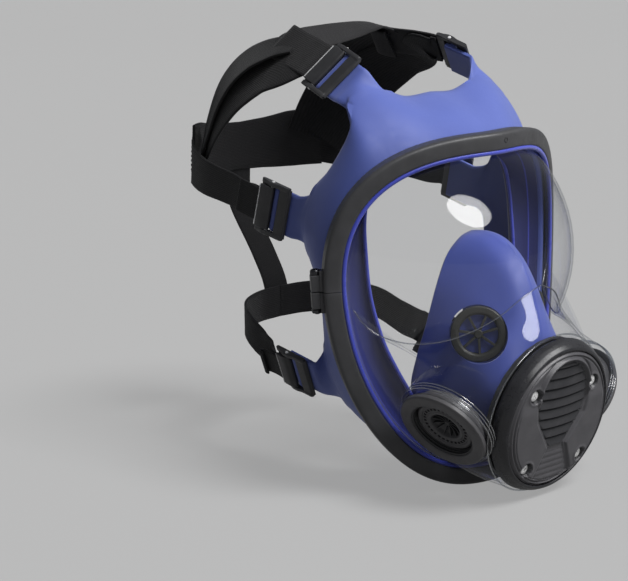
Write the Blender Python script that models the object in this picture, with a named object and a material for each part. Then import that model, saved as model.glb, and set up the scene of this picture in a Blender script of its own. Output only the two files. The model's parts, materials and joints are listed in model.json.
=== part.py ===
"""Full face respirator: silicone face blank, clamped panoramic visor with a front voice and
exhalation housing, two side filter ports, inner nose cup and a six point strap harness.

Modelling frame, in millimetres: +X is the wearer's left, the visor looks along -Y, +Z is up.
The root empty moves everything so that the row's origin is the middle of the bounding box.
"""
import math

import bmesh
import bpy
import numpy as np
from mathutils import Matrix, Vector

MM = 0.001

# ---------------------------------------------------------------- driving dimensions (mm, degrees)
ORIGIN = (0.0, 27.6, 25.4)      # point of the modelling frame that becomes the row's origin

# visor rim: a rounded outline, wider at the brow than at the chin, swept back at the sides
RIM_HALF_W = 100.2
RIM_HALF_H = 105.9
RIM_SQUARE_X = 0.671
RIM_SQUARE_Z = 0.935
RIM_TAPER = 0.152
RIM_FRONT_Y = -60.0
RIM_SWEEP = 41.8
RIM_SWEEP_POWER = 1.686
RIM_BAND = 10.5                 # visible front width of the rim
RIM_DEPTH = 12.0
RIM_SPLIT_Z = 19.0              # height of the joint between the two rim halves
RIM_SPLIT_GAP = 0.4
LUG_HALF = 10.0                 # each lug's length from the split
OUTLINE_STEPS = 40              # straight pieces round the outline, shared by the rim, the visor and the face blank

# visor dome and muzzle
DOME_CENTRE = (0.0, 20.0, 30.0)
DOME_RADII = (95.0, 113.0, 94.0)
VISOR_T = 2.4
CREASE = ((0, 20), (14, 14), (26, 4.5), (38, -3.5), (49, -9.5), (60, -12), (70, -10), (79, -3.5))

# front housing, on an axis tilted down
FRONT_C = (0.0, -108.1, -58.4)
FRONT_TILT = 10.6
HOUSING_R = 47.5
COVER_R = 42.0
COVER_T = 3.5
LAND_H = -11.2                  # visor land, measured from the cover's face
LAND_R = 49.0
BORE_R = 43.2
SCREWS = ((25.65, 19.6), (-25.65, 19.6), (23.95, -26.85), (-23.95, -26.85))
DIAPHRAGM_V = 15.0
EXHALE_V = -20.0
EXHALE_LIFT = 2.0
DIAPHRAGM_TRAVEL = 0.3

# side filter ports, wearer's right (the left one is mirrored)
PORT_C = (-63.0, -72.8, -60.2)
PORT_N = (-0.830, -0.091, -0.552)
PORT_R = 28.0
THREAD_R = 20.2                 # 40 mm round-thread filter connection
COLLAR_R = 30.0
INHALE_LIFT = 1.5

# nose cup and its check valves
CUP_T = 2.0
CUP_RING_R = 33.0
CUP_VALVE_C = (-28.5, -70.0, -8.5)
CUP_VALVE_N = (-0.72, -0.68, 0.12)
CUP_VALVE_R = 16.5
CUP_LIFT = 1.5

# head form that the harness and the face blank's back edge are shaped on
HEAD_C = (0.0, 32.0, 58.0)
HEAD_RADII = (76.5, 133.0, 94.0)
HEAD_POWER = 3.0
BLANK_T = 3.0
BLANK_EDGE = ((0, -3.8, 124.5), (-20, -2.5, 123.5), (-36, -2.5, 128), (-52, 0, 129.5), (-64, 2, 123), (-68.5, -5, 113),
              (-71, -4, 103), (-76, 5, 85), (-78, 16, 73), (-79.5, 23, 55), (-78.5, 22, 38), (-75, 18, 24),
              (-69, 19, 4), (-63, 23, -18), (-61, 23, -36), (-56, 12, -60), (-42, 0, -75), (-22, -14, -86), (0, -20, -90))

# buckles: frame size and the place of each on the wearer's right
BUCKLE_W = 33.0
BUCKLE_L = 23.0
TAB_W = 26.6
BUCKLE_SWING = 35.0
CAM_SWING = 50.0
BUCKLES = {
    "top": dict(at=(-55.0, 14.4, 135.0), n=(-0.74, -0.10, 0.66), v=(0.19, 0.93, 0.26), base=(-54, 0, 129), depth=0.80),
    "temple": dict(at=(-79.0, 37.0, 55.0), n=(-0.99, -0.06, 0.02), v=(-0.01, 0.97, 0.22), base=(-79.5, 23, 54), depth=0.70),
    "lower": dict(at=(-61.0, 37.0, -47.5), n=(-0.86, 0.05, -0.50), v=(0.12, 0.93, 0.34), base=(-60, 20, -45), depth=0.72),
}
STRAP_W = 20.0
STRAP_T = 2.0


# ---------------------------------------------------------------- small helpers
def unit(v):
    v = np.array(v, float)
    return v / np.linalg.norm(v)


def spow(v, p):
    return math.copysign(abs(v) ** p, v)


def mirror(p):
    return (-p[0], p[1], p[2])


def frame_of(n, up=(0, 0, 1)):
    """Right-handed axes with the third along n and the second as near to up as it can be."""
    ez = unit(n)
    ey = np.array(up, float) - np.dot(up, ez) * ez
    ey = unit(ey)
    return np.column_stack((np.cross(ey, ez), ey, ez))


def catmull(points, k, closed=False):
    """k even steps through each gap of a row of points, as one list."""
    pts = [np.array(p, float) for p in points]
    n = len(pts)
    out = []
    for i in range(n if closed else n - 1):
        p1, p2 = pts[i], pts[(i + 1) % n]
        p0 = pts[i - 1] if closed or i > 0 else 2 * p1 - p2
        p3 = pts[(i + 2) % n] if closed or i + 2 < n else 2 * p2 - p1
        for j in range(k):
            t = j / k
            out.append(0.5 * (2 * p1 + (p2 - p0) * t + (2 * p0 - 5 * p1 + 4 * p2 - p3) * t * t
                              + (3 * p1 - p0 - 3 * p2 + p3) * t ** 3))
    if not closed:
        out.append(pts[-1])
    return out


def along(points, fractions):
    """Points at the given fractions of a polyline's length."""
    p = np.array(points, float)
    d = np.r_[0, np.cumsum(np.linalg.norm(np.diff(p, axis=0), axis=1))]
    d /= d[-1]
    return np.column_stack([np.interp(fractions, d, p[:, a]) for a in range(3)])


for ob in list(bpy.data.objects):
    bpy.data.objects.remove(ob, do_unlink=True)

ROOT = bpy.data.objects.new("respirator", None)
bpy.context.scene.collection.objects.link(ROOT)
ROOT.location = Vector(ORIGIN) * -MM

MATS = {}


def material(name, colour, roughness, metallic=0.0, alpha=1.0):
    m = bpy.data.materials.new(name)
    m.use_nodes = True
    b = m.node_tree.nodes["Principled BSDF"]
    b.inputs["Base Color"].default_value = (*colour, 1.0)
    b.inputs["Roughness"].default_value = roughness
    b.inputs["Metallic"].default_value = metallic
    b.inputs["Alpha"].default_value = alpha
    MATS[name] = m


material("blue_silicone", (0.045, 0.065, 0.33), 0.45)
material("clear_polycarbonate", (0.85, 0.88, 0.92), 0.05, 0.0, 0.25)
material("black_plastic", (0.035, 0.035, 0.038), 0.45)
material("black_satin", (0.055, 0.055, 0.060), 0.38)
material("black_rubber", (0.02, 0.02, 0.022), 0.6)
material("grey_film", (0.30, 0.30, 0.31), 0.35)
material("screw_steel", (0.62, 0.62, 0.63), 0.25, 1.0)
material("clear_valve", (0.55, 0.58, 0.62), 0.4)
material("black_webbing", (0.022, 0.022, 0.025), 0.8)


def smooth(me, angle=32):
    me.shade_smooth()
    me.set_sharp_from_angle(angle=math.radians(angle))


def mesh_of(verts, faces, name="m"):
    """A closed mesh from points in mm, faces turned outward."""
    bm = bmesh.new()
    vs = [bm.verts.new(Vector(v)) for v in verts]
    for f in faces:
        bm.faces.new([vs[i] for i in f])
    bmesh.ops.recalc_face_normals(bm, faces=bm.faces)
    me = bpy.data.meshes.new(name)
    bm.to_mesh(me)
    bm.free()
    return me


def lathe(profile, steps, name="m"):
    """A turned piece about Z from (radius, height) points: a closed ring, or a chain from axis to axis."""
    bm = bmesh.new()
    vs = [bm.verts.new((r, 0, h)) for r, h in profile]
    chain = [bm.edges.new((vs[i], vs[i + 1])) for i in range(len(vs) - 1)]
    if profile[0][0] > 1e-6 and profile[-1][0] > 1e-6:
        chain.append(bm.edges.new((vs[-1], vs[0])))
    bmesh.ops.spin(bm, geom=vs + chain, cent=(0, 0, 0), axis=(0, 0, 1), angle=2 * math.pi, steps=steps,
                   use_merge=True, use_duplicate=False)
    bmesh.ops.remove_doubles(bm, verts=bm.verts, dist=1e-4)
    bmesh.ops.recalc_face_normals(bm, faces=bm.faces)
    me = bpy.data.meshes.new(name)
    bm.to_mesh(me)
    bm.free()
    return me


def block(x0, x1, y0, y1, z0, z1, name="m"):
    bm = bmesh.new()
    bmesh.ops.create_cube(bm, size=1.0)
    bmesh.ops.scale(bm, vec=(x1 - x0, y1 - y0, z1 - z0), verts=bm.verts)
    bmesh.ops.translate(bm, vec=((x0 + x1) / 2, (y0 + y1) / 2, (z0 + z1) / 2), verts=bm.verts)
    me = bpy.data.meshes.new(name)
    bm.to_mesh(me)
    bm.free()
    return me


def moved(me, at=(0, 0, 0), axes=None):
    """A copy of a mesh placed by an origin and axes (columns)."""
    m = Matrix.Identity(4)
    if axes is not None:
        for i in range(3):
            for j in range(3):
                m[i][j] = axes[i][j]
    m.translation = Vector(at)
    c = me.copy()
    c.transform(m)
    return c


def combine(base, others, op):
    """Base joined with, or cut by, each of the other closed meshes."""
    ob = bpy.data.objects.new("work", base)
    bpy.context.scene.collection.objects.link(ob)
    tools = []
    for i, me in enumerate(others):
        c = bpy.data.objects.new("tool%d" % i, me)
        bpy.context.scene.collection.objects.link(c)
        tools.append(c)
        mod = ob.modifiers.new("b%d" % i, "BOOLEAN")
        mod.operation = op
        mod.solver = "EXACT"
        mod.object = c
    dg = bpy.context.evaluated_depsgraph_get()
    me = bpy.data.meshes.new_from_object(ob.evaluated_get(dg))
    for c in [ob] + tools:
        bpy.data.objects.remove(c, do_unlink=True)
    bm = bmesh.new()
    bm.from_mesh(me)
    bmesh.ops.remove_doubles(bm, verts=bm.verts, dist=0.002)
    bmesh.ops.dissolve_degenerate(bm, edges=bm.edges, dist=0.002)
    bm.to_mesh(me)
    bm.free()
    return me


def tessellate(me, keep=3.0):
    """Triangles, with flat areas merged first."""
    bm = bmesh.new()
    bm.from_mesh(me)
    bmesh.ops.dissolve_limit(bm, angle_limit=math.radians(0.3), verts=bm.verts, edges=bm.edges)
    bmesh.ops.triangulate(bm, faces=bm.faces)
    bm.to_mesh(me)
    bm.free()
    return me


def put(name, me, mat, at=(0, 0, 0), axes=None, angle=32):
    """Places a mesh given in local mm as a named object under the root."""
    me = me.copy()
    me.name = name
    me.transform(Matrix.Scale(MM, 4))
    me.materials.clear()
    me.materials.append(MATS[mat])
    smooth(me, angle)
    ob = bpy.data.objects.new(name, me)
    bpy.context.scene.collection.objects.link(ob)
    ob.parent = ROOT
    ob.location = Vector(at) * MM
    if axes is not None:
        ob.rotation_mode = "QUATERNION"
        ob.rotation_quaternion = Matrix([list(map(float, r)) for r in axes]).to_quaternion()
    return ob


# ---------------------------------------------------------------- rim outline and its local axes
def outline_xyz(t):
    zz = spow(math.cos(t), RIM_SQUARE_Z)
    x = -RIM_HALF_W * spow(math.sin(t), RIM_SQUARE_X) * (1 + RIM_TAPER * zz)
    y = RIM_FRONT_Y + RIM_SWEEP * abs(x / RIM_HALF_W) ** RIM_SWEEP_POWER
    return (x, y, RIM_HALF_H * zz)


_T = [math.pi * (0.5 - 0.5 * math.cos(math.pi * i / 3000)) for i in range(3001)]
_HALF = np.array([outline_xyz(t) for t in _T])
_HALF[0, 0] = _HALF[-1, 0] = 0.0
_D = np.r_[0, np.cumsum(np.linalg.norm(np.diff(_HALF, axis=0), axis=1))]
HALF_LEN = _D[-1]


def rim_axes(s):
    """Point, along, outward and forward at fraction s of the outline: 0 brow, 0.25 about the wearer's right, 0.5 chin."""
    s = s % 1.0
    flip = s > 0.5
    q = (1 - s if flip else s) * 2 * HALF_LEN

    def at(d):
        if d < 0:
            p = at(-d)
            return np.array((-p[0], p[1], p[2]))
        if d > HALF_LEN:
            p = at(2 * HALF_LEN - d)
            return np.array((-p[0], p[1], p[2]))
        return np.array([np.interp(d, _D, _HALF[:, a]) for a in range(3)])
    p = at(q)
    tan = unit(at(q + 2.0) - at(q - 2.0))
    g = RIM_SWEEP * RIM_SWEEP_POWER * abs(p[0] / RIM_HALF_W) ** (RIM_SWEEP_POWER - 1) * math.copysign(1, p[0]) / RIM_HALF_W
    fwd = unit((g, -1, 0))
    fwd = unit(fwd - np.dot(fwd, tan) * tan)
    out = unit(np.cross(tan, fwd))
    if flip:
        m = np.array((-1, 1, 1))
        p, tan, out, fwd = p * m, -tan * m, out * m, fwd * m
    return p, tan, out, fwd


def rim_point(s, n, f):
    p, _, out, fwd = rim_axes(s)
    return p + n * out + f * fwd


def split_fraction():
    z = np.interp(RIM_SPLIT_Z, _HALF[::-1, 2], _D[::-1])
    return z / (2 * HALF_LEN)


S0 = split_fraction()

# ---------------------------------------------------------------- rim halves, lugs and clamp screws
RIM_PROFILE = ((-RIM_BAND, -1.0), (-RIM_BAND + 1.2, 0.0), (-1.5, 0.0), (0.0, -1.5), (0.0, -10.8), (-1.2, -RIM_DEPTH),
               (-8.0, -RIM_DEPTH), (-8.0, -9.5), (-3.0, -9.5), (-3.0, -2.5), (-RIM_BAND, -2.5))


def sweep(sections, closed):
    """Faces that join rows of equal length into a tube, with end caps when it is open."""
    m, n = len(sections), len(sections[0])
    verts = [p for row in sections for p in row]
    faces = []
    for i in range(m if closed else m - 1):
        a, b = i * n, ((i + 1) % m) * n
        for j in range(n):
            k = (j + 1) % n
            faces.append((a + j, a + k, b + k, b + j))
    if not closed:
        faces += [tuple(range(n)), tuple(range((m - 1) * n, m * n))]
    me = mesh_of(verts, faces)
    bm = bmesh.new()
    bm.from_mesh(me)
    bmesh.ops.triangulate(bm, faces=bm.faces)
    bm.to_mesh(me)
    bm.free()
    return me


def rim_half(name, s_from, s_to, ear_sign):
    fractions = [s_from] + [i / OUTLINE_STEPS for i in range(-OUTLINE_STEPS, OUTLINE_STEPS + 1)
                            if s_from + 0.004 < i / OUTLINE_STEPS < s_to - 0.004] + [s_to]
    rows = [[rim_point(f, n, h) for n, h in RIM_PROFILE] for f in fractions]
    me = sweep(rows, False)
    ears, holes = [], []
    for side in (1, -1):
        p, tan, out, fwd = rim_axes(S0 if side > 0 else 1 - S0)
        if side < 0:
            tan = -tan
        # local axes of the lug: up along the rim, outward, forward
        up = -tan
        ax = np.column_stack((out, fwd, up))
        if np.linalg.det(ax) < 0:
            ax = np.column_stack((fwd, out, up))
            ears.append(moved(block(-11.2, -4.2, -2.0, 6.6, *sorted((ear_sign * RIM_SPLIT_GAP / 2, ear_sign * LUG_HALF))), p, ax))
            holes.append(moved(lathe(((0, -15), (1.8, -15), (1.8, 15), (0, 15)), 12), p + 3.6 * out - 7.7 * fwd, ax))
        else:
            ears.append(moved(block(-2.0, 6.6, -11.2, -4.2, *sorted((ear_sign * RIM_SPLIT_GAP / 2, ear_sign * LUG_HALF))), p, ax))
            holes.append(moved(lathe(((0, -15), (1.8, -15), (1.8, 15), (0, 15)), 12), p + 3.6 * out - 7.7 * fwd, ax))
    me = combine(me, ears, "UNION")
    me = combine(me, holes, "DIFFERENCE")
    return put(name, tessellate(me), "black_satin")


GAP_S = RIM_SPLIT_GAP / 2 / (2 * HALF_LEN)
rim_half("rim_upper", -(S0 - GAP_S), S0 - GAP_S, 1)
rim_half("rim_lower", S0 + GAP_S, 1 - S0 - GAP_S, -1)

CLAMP_SCREW = ((0, 13.2), (2.2, 13.0), (3.0, 11.8), (3.0, 10.3), (1.6, 10.3), (1.6, -13.0), (0, -13.0))
CLAMP_NUT = ((2.0, -10.3), (3.5, -10.3), (3.5, -12.6), (2.0, -12.6))
for tag, side in (("R", 1), ("L", -1)):
    p, tan, out, fwd = rim_axes(S0 if side > 0 else 1 - S0)
    up = -tan if side > 0 else tan
    ax = frame_of(up, out)
    c = p + 3.6 * out - 7.7 * fwd
    put("rim_screw_" + tag, lathe(CLAMP_SCREW, 12), "screw_steel", c, ax)
    put("rim_nut_" + tag, lathe(CLAMP_NUT, 6), "screw_steel", c, ax)

# ---------------------------------------------------------------- visor
DC, DR = np.array(DOME_CENTRE), np.array(DOME_RADII)
TILT = math.radians(FRONT_TILT)
FC = np.array(FRONT_C)
F_UP = np.array((0.0, -math.sin(TILT), math.cos(TILT)))
F_OUT = np.array((0.0, -math.cos(TILT), -math.sin(TILT)))
FRONT_AXES = np.column_stack(((1.0, 0.0, 0.0), F_UP, F_OUT))


def front(u, v, h):
    return FC + u * np.array((1.0, 0, 0)) + v * F_UP + h * F_OUT


def dome_y(x, z):
    q = 1 - ((x - DC[0]) / DR[0]) ** 2 - ((z - DC[2]) / DR[2]) ** 2
    return DC[1] - DR[1] * math.sqrt(max(q, 0.02))


S_CREASE = float(np.interp(9.0, _HALF[::-1, 2], _D[::-1]) / (2 * HALF_LEN))   # where the crease meets the rim
CREASE_3D = [(-x, dome_y(x, z), z) for x, z in CREASE] + [rim_point(S_CREASE, -13.0, -2.0)]
CREASE_LINE = np.array(catmull(CREASE_3D, 12))


def base_line(s):
    """The line the muzzle rises from: the crease across the dome, then the rim's inner edge down to the chin."""
    if s <= S_CREASE:
        return along(CREASE_LINE, [s / S_CREASE])[0]
    return rim_point(s, -13.0, -2.0)


_BS = np.linspace(0, 0.5, 400)
_BP = np.array([base_line(s) for s in _BS])
_BD = np.r_[0, np.cumsum(np.linalg.norm(np.diff(_BP, axis=0), axis=1))]
BASE_LEN = _BD[-1]


def land_angle(s):
    """Angle round the front land (0 up, 180 down, wearer's right positive) that a column ends at."""
    return math.pi * (np.interp(s, _BS, _BD) / BASE_LEN) ** 1.09


def column(s, dome_rows, muzzle_rows):
    """Outer surface points of the visor from the rim groove to the front bore, for 0 <= s <= 0.5."""
    out = [rim_point(s, -3.4, -2.9), rim_point(s, -11.2, -2.9)]
    a, b = out[1], base_line(s)
    ua, ub = (a - DC) / DR, (b - DC) / DR
    ra, rb = np.linalg.norm(ua), np.linalg.norm(ub)
    ua, ub = ua / ra, ub / rb
    w = math.acos(max(-1, min(1, float(np.dot(ua, ub)))))
    for i in range(1, dome_rows + 1):
        t = i / dome_rows
        if w < 1e-4:
            d = ua
        else:
            d = (math.sin((1 - t) * w) * ua + math.sin(t * w) * ub) / math.sin(w)
        e = 1 - (1 - t) ** 2
        out.append(DC + DR * d * (ra + (rb - ra) * e))
    phi = land_angle(s)
    land = front(-math.sin(phi) * LAND_R, math.cos(phi) * LAND_R, LAND_H)
    mid = (b + land) / 2
    away = unit((math.sin(phi) * -1.0, -0.35, math.cos(phi)))
    side = math.sin(phi) ** 2
    mid = mid + away * (2.5 + 4.5 * side)
    for i in range(1, muzzle_rows + 1):
        t = i / muzzle_rows
        out.append((1 - t) ** 2 * b + 2 * t * (1 - t) * mid + t * t * land)
    out.append(front(-math.sin(phi) * (BORE_R - 1.5), math.cos(phi) * (BORE_R - 1.5), LAND_H))
    return out


def visor_mesh(columns, dome_rows, muzzle_rows):
    grid = []
    for i in range(columns):
        s = i / columns
        if s <= 0.5:
            grid.append(np.array(column(s, dome_rows, muzzle_rows)))
        else:
            grid.append(np.array(column(1 - s, dome_rows, muzzle_rows)) * np.array((-1, 1, 1)))
    g = np.array(grid)
    m, n = g.shape[:2]
    nor = np.zeros_like(g)
    for i in range(m):
        for j in range(n):
            du = g[(i + 1) % m, j] - g[i - 1, j]
            dv = g[i, min(j + 1, n - 1)] - g[i, max(j - 1, 0)]
            nor[i, j] = unit(np.cross(du, dv))
    if nor[0, n // 2, 1] > 0:
        nor = -nor
    for i in range(m):
        nor[i, 0] = nor[i, 1] = rim_axes(i / m)[3]
        nor[i, n - 1] = nor[i, n - 2] = F_OUT
    inner = g - nor * VISOR_T
    rows = [list(g[i]) + list(inner[i][::-1]) for i in range(m)]
    return sweep(rows, True)


PN = unit(PORT_N)
PC = np.array(PORT_C, float)
PORT_AXES = frame_of(PN)


def port_collar(flip, radius, steps, start, plane_shift):
    """The clear tube round a port: square to the port at its face, and cut to the muzzle wall behind."""
    wall_n = unit((-0.88, -0.44, -0.18))
    wall_p = np.array((-56.0, -71.0, -54.0)) - wall_n * plane_shift
    rings = [[], []]
    for i in range(steps):
        a = 2 * math.pi * i / steps
        p = PC + radius * (math.cos(a) * PORT_AXES[:, 0] + math.sin(a) * PORT_AXES[:, 1]) + start * PN
        t = np.dot(p - wall_p, wall_n) / np.dot(PN, wall_n)
        t = max(t, 2.0)
        rings[0].append(p)
        rings[1].append(p - PN * t)
    if flip:
        rings = [[q * np.array((-1, 1, 1)) for q in r] for r in rings]
    return sweep(rings, False)


visor = visor_mesh(OUTLINE_STEPS, 4, 3)
visor = combine(visor, [port_collar(f, COLLAR_R, 24, -4.3, 3.5) for f in (False, True)], "UNION")
bores = []
for f in (False, True):
    c = PC * np.array((-1, 1, 1)) if f else PC
    n = PN * np.array((-1, 1, 1)) if f else PN
    bores.append(moved(lathe(((0, -34), (24.8, -34), (24.8, -4.3), (28.6, -4.3), (28.6, 9), (0, 9)), 24), c, frame_of(n)))
bores.append(moved(lathe(((0, -30), (46.4, -30), (46.4, LAND_H - 2.3), (BORE_R, LAND_H - 2.3), (BORE_R, LAND_H - 0.05),
                          (LAND_R - 0.4, LAND_H - 0.05), (LAND_R - 0.4, 9), (0, 9)), 28), FC, FRONT_AXES))
for bore in bores:
    visor = combine(visor, [bore], "DIFFERENCE")
put("visor", tessellate(visor), "clear_polycarbonate", angle=25)

# ---------------------------------------------------------------- front housing group
HOUSING_PROFILE = ((0, -13), (39.5, -13), (39.5, -3.9), (42.3, -3.9), (42.3, -0.8), (43.6, -0.5), (44.6, -1.6),
                   (47.5, -9.0), (47.3, -10.2), (42.7, -10.2), (42.7, -17.6), (39.5, -17.6), (39.5, -15), (0, -15))
housing = lathe(HOUSING_PROFILE, 28)
adds = [moved(lathe(((17.9, -14), (19.3, -14), (19.3, -9.6), (17.9, -9.6)), 18), (0, DIAPHRAGM_V, 0)),
        moved(lathe(((14.4, -14), (15.8, -14), (15.8, -9.6), (14.4, -9.6)), 16), (0, EXHALE_V, 0))]
cuts = [moved(lathe(((0, -16), (14.0, -16), (14.0, -9), (0, -9)), 16), (0, DIAPHRAGM_V, 0)),
        moved(lathe(((0, -16), (11.0, -16), (11.0, -9), (0, -9)), 14), (0, EXHALE_V, 0))]
for u, v in SCREWS:
    adds.append(moved(lathe(((0, -14), (3.6, -14), (3.6, -3.9), (0, -3.9)), 8), (u, v, 0)))
    cuts.append(moved(lathe(((0, -12.4), (1.7, -12.4), (1.7, -2), (0, -2)), 6), (u, v, 0)))
housing = combine(housing, adds, "UNION")
housing = combine(housing, cuts, "DIFFERENCE")
put("front_housing", tessellate(housing), "black_plastic", FC, FRONT_AXES)

cover = lathe(((0, -COVER_T), (COVER_R - 0.6, -COVER_T), (COVER_R, -2.6), (COVER_R, -0.9), (COVER_R - 1.4, 0.0), (0, 0.0)), 30)
slots = []
SHIELD_TOP, SHIELD_STEP = 31.0, 5.4
for i in range(9):
    v = SHIELD_TOP - SHIELD_STEP * i
    half = 21.5 * math.sqrt(max(0.0, 1 - ((v - 12) / 27.0) ** 2)) if v > 6 else 21.0 - (6 - v) * 0.52
    if abs(v - 19.6) < 6:
        half = min(half, 20.6)
    me = block(-half, half, v - 0.8, v + 0.8, -6, 3)
    slots.append(moved(me, (0, 0, 0), None))
for u, v in SCREWS:
    slots.append(moved(lathe(((0, -6), (1.7, -6), (1.7, -1.9), (3.7, -1.9), (3.7, 3), (0, 3)), 8), (u, v, 0)))
cover = combine(cover, slots, "DIFFERENCE")
put("front_cover", tessellate(cover), "black_satin", FC, FRONT_AXES)

SCREW_PROFILE = ((0, -0.25), (2.4, -0.3), (3.2, -0.9), (3.2, -1.6), (1.45, -1.6), (1.45, -11.8), (0, -12.2))
for i, (u, v) in enumerate(SCREWS):
    put("cover_screw_%d" % (i + 1), lathe(SCREW_PROFILE, 8), "screw_steel", front(u, v, 0), FRONT_AXES)

put("front_gasket", lathe(((43.7, -10.4), (46.8, -10.4), (46.8, -11.0), (43.7, -11.0)), 28), "black_rubber", FC, FRONT_AXES)
put("housing_lock_ring", lathe(((43.4, -13.9), (45.8, -13.9), (45.8, -17.2), (43.4, -17.2)), 28), "black_plastic", FC, FRONT_AXES)

dc = front(0, DIAPHRAGM_V, -12.35)
put("speech_diaphragm", lathe(((0, 0.3), (6, 0.3), (8, 0.0), (16.9, 0.25), (16.9, -0.25), (8, -0.5), (6, -0.2),
                               (0, -0.2)), 16), "grey_film", dc, FRONT_AXES)
put("diaphragm_ring", lathe(((14.6, 0.8), (17.6, 0.8), (17.6, 2.6), (14.6, 2.6)), 16), "black_plastic", dc, FRONT_AXES)


def spider(r_out, r_in, hub, spokes, width, z0, z1, steps):
    """A valve seat: an outer ring, a hub and radial spokes, as one body."""
    me = lathe(((r_in, z0), (r_out, z0), (r_out, z1), (r_in, z1)), steps)
    parts = [lathe(((0, z0), (hub, z0), (hub, z1), (0, z1)), 10)]
    for k in range(spokes):
        a = 2 * math.pi * k / spokes + 0.2
        ca, sa = math.cos(a), math.sin(a)
        bar = block(hub * 0.5, r_in + 0.8, -width / 2, width / 2, z0 + 0.25, z1 - 0.25)
        parts.append(moved(bar, (0, 0, 0), ((ca, -sa, 0), (sa, ca, 0), (0, 0, 1))))
    return combine(me, parts, "UNION")


def flap(r, t, hub, steps):
    """A thin rubber valve disc with a low central boss."""
    return lathe(((0, t / 2 + 0.5), (hub, t / 2 + 0.5), (hub + 0.8, t / 2), (r, t / 2), (r, -t / 2), (0, -t / 2)), steps)


ec = front(0, EXHALE_V, -9.6)
put("exhale_seat", tessellate(spider(13.9, 10.0, 2.6, 4, 1.8, -3.1, -1.1, 16)), "black_plastic", ec, FRONT_AXES)
put("exhale_flap", flap(12.4, 0.9, 2.4, 14), "black_rubber", ec, FRONT_AXES)

# ---------------------------------------------------------------- side ports
BODY_PROFILE = ((20.2, 0.0), (27.3, 0.0), (28.0, -0.7), (28.0, -3.3), (24.4, -3.3), (24.4, -8.0), (21.4, -10.6), (21.4, -13.0), (18.6, -13.0),
                (18.6, -10.2), (17.2, -10.2), (17.2, -8.8), (20.2, -8.8))
body_me = lathe(BODY_PROFILE, 22)
gasket_me = lathe(((25.1, -3.55), (27.6, -3.55), (27.6, -4.0), (25.1, -4.0)), 20)
washer_me = lathe(((17.6, -6.2), (19.8, -6.2), (19.8, -7.4), (17.6, -7.4)), 16)
GRILLE_PROFILE = ((0, -8.3), (4.4, -7.9), (6.6, -5.2), (7.4, -4.6), (16.4, -4.6), (17.1, -5.3), (17.1, -7.7), (19.6, -7.7),
                  (19.6, -8.5), (15.7, -8.5), (15.7, -6.0), (8.0, -6.0), (5.4, -9.4), (0, -9.7))
grille_me = lathe(GRILLE_PROFILE, 18)
pins = []
for k in range(12):
    a = 2 * math.pi * (k + 0.25) / 12
    ca, sa = math.cos(a), math.sin(a)
    pins.append(moved(block(11.3, 12.9, -0.8, 0.8, -7.5, -3), (0, 0, 0), ((ca, -sa, 0), (sa, ca, 0), (0, 0, 1))))
for k in range(5):
    a = 2 * math.pi * k / 5
    ca, sa = math.cos(a), math.sin(a)
    pins.append(moved(block(1.4, 3.9, -0.55, 0.55, -11, -6), (0, 0, 0), ((ca, -sa, 0), (sa, ca, 0), (0, 0, 1))))
grille_me = tessellate(combine(grille_me, pins, "DIFFERENCE"))
seat_me = tessellate(spider(18.2, 13.6, 2.4, 3, 1.8, -12.0, -10.5, 18))
inhale_me = moved(flap(15.2, 0.7, 2.2, 16), (0, 0, 0), ((1, 0, 0), (0, -1, 0), (0, 0, -1)))
for tag, sign in (("R", 1), ("L", -1)):
    m = np.array((sign, 1, 1), float)
    c, ax = PC * m, frame_of(PN * m)
    put("port_body_" + tag, body_me, "black_satin", c, ax)
    put("port_gasket_" + tag, gasket_me, "black_rubber", c, ax)
    put("filter_washer_" + tag, washer_me, "black_rubber", c, ax)
    put("port_grille_" + tag, grille_me, "black_plastic", c, ax)
    put("inhale_seat_" + tag, seat_me, "black_plastic", c, ax)
    put("inhale_flap_" + tag, inhale_me, "black_rubber", c + ax[:, 2] * -12.8, ax)

# ---------------------------------------------------------------- nose cup
CUP_EDGE = ((0, -38, 45), (-12, -40, 43), (-23, -40, 34), (-32, -40, 17), (-38, -37, -7), (-41, -32, -28), (-42, -29, -48),
            (-34, -32, -66), (-18, -37, -78), (0, -40, -82))
CUP_MID = ((0, -76, 33), (-10, -74, 27), (-19, -71, 14), (-27.5, -69.5, -2), (-35, -67, -20), (-37.5, -66, -38), (-37, -65, -55),
           (-31, -66, -71), (-17, -67, -82), (0, -68, -86))
CUP_N = 26


def cup_rows():
    half = CUP_N // 2
    fr = np.linspace(0, 1, half + 1)
    edge = along(catmull(CUP_EDGE, 8), fr)
    mid = along(catmull(CUP_MID, 8), fr)
    rows = []
    for i in range(CUP_N):
        k = i if i <= half else CUP_N - i
        a = math.pi * k / half
        ring = front(-math.sin(a) * CUP_RING_R, math.cos(a) * CUP_RING_R, -18.0)
        e, m = edge[k], mid[k]
        c = 2 * m - 0.5 * (e + ring)
        pts = [(1 - t) ** 2 * e + 2 * t * (1 - t) * c + t * t * ring for t in (0, 0.2, 0.42, 0.62, 0.82, 1.0)]
        if i > half:
            pts = [p * np.array((-1, 1, 1)) for p in pts]
        rows.append(pts)
    return np.array(rows)


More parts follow.
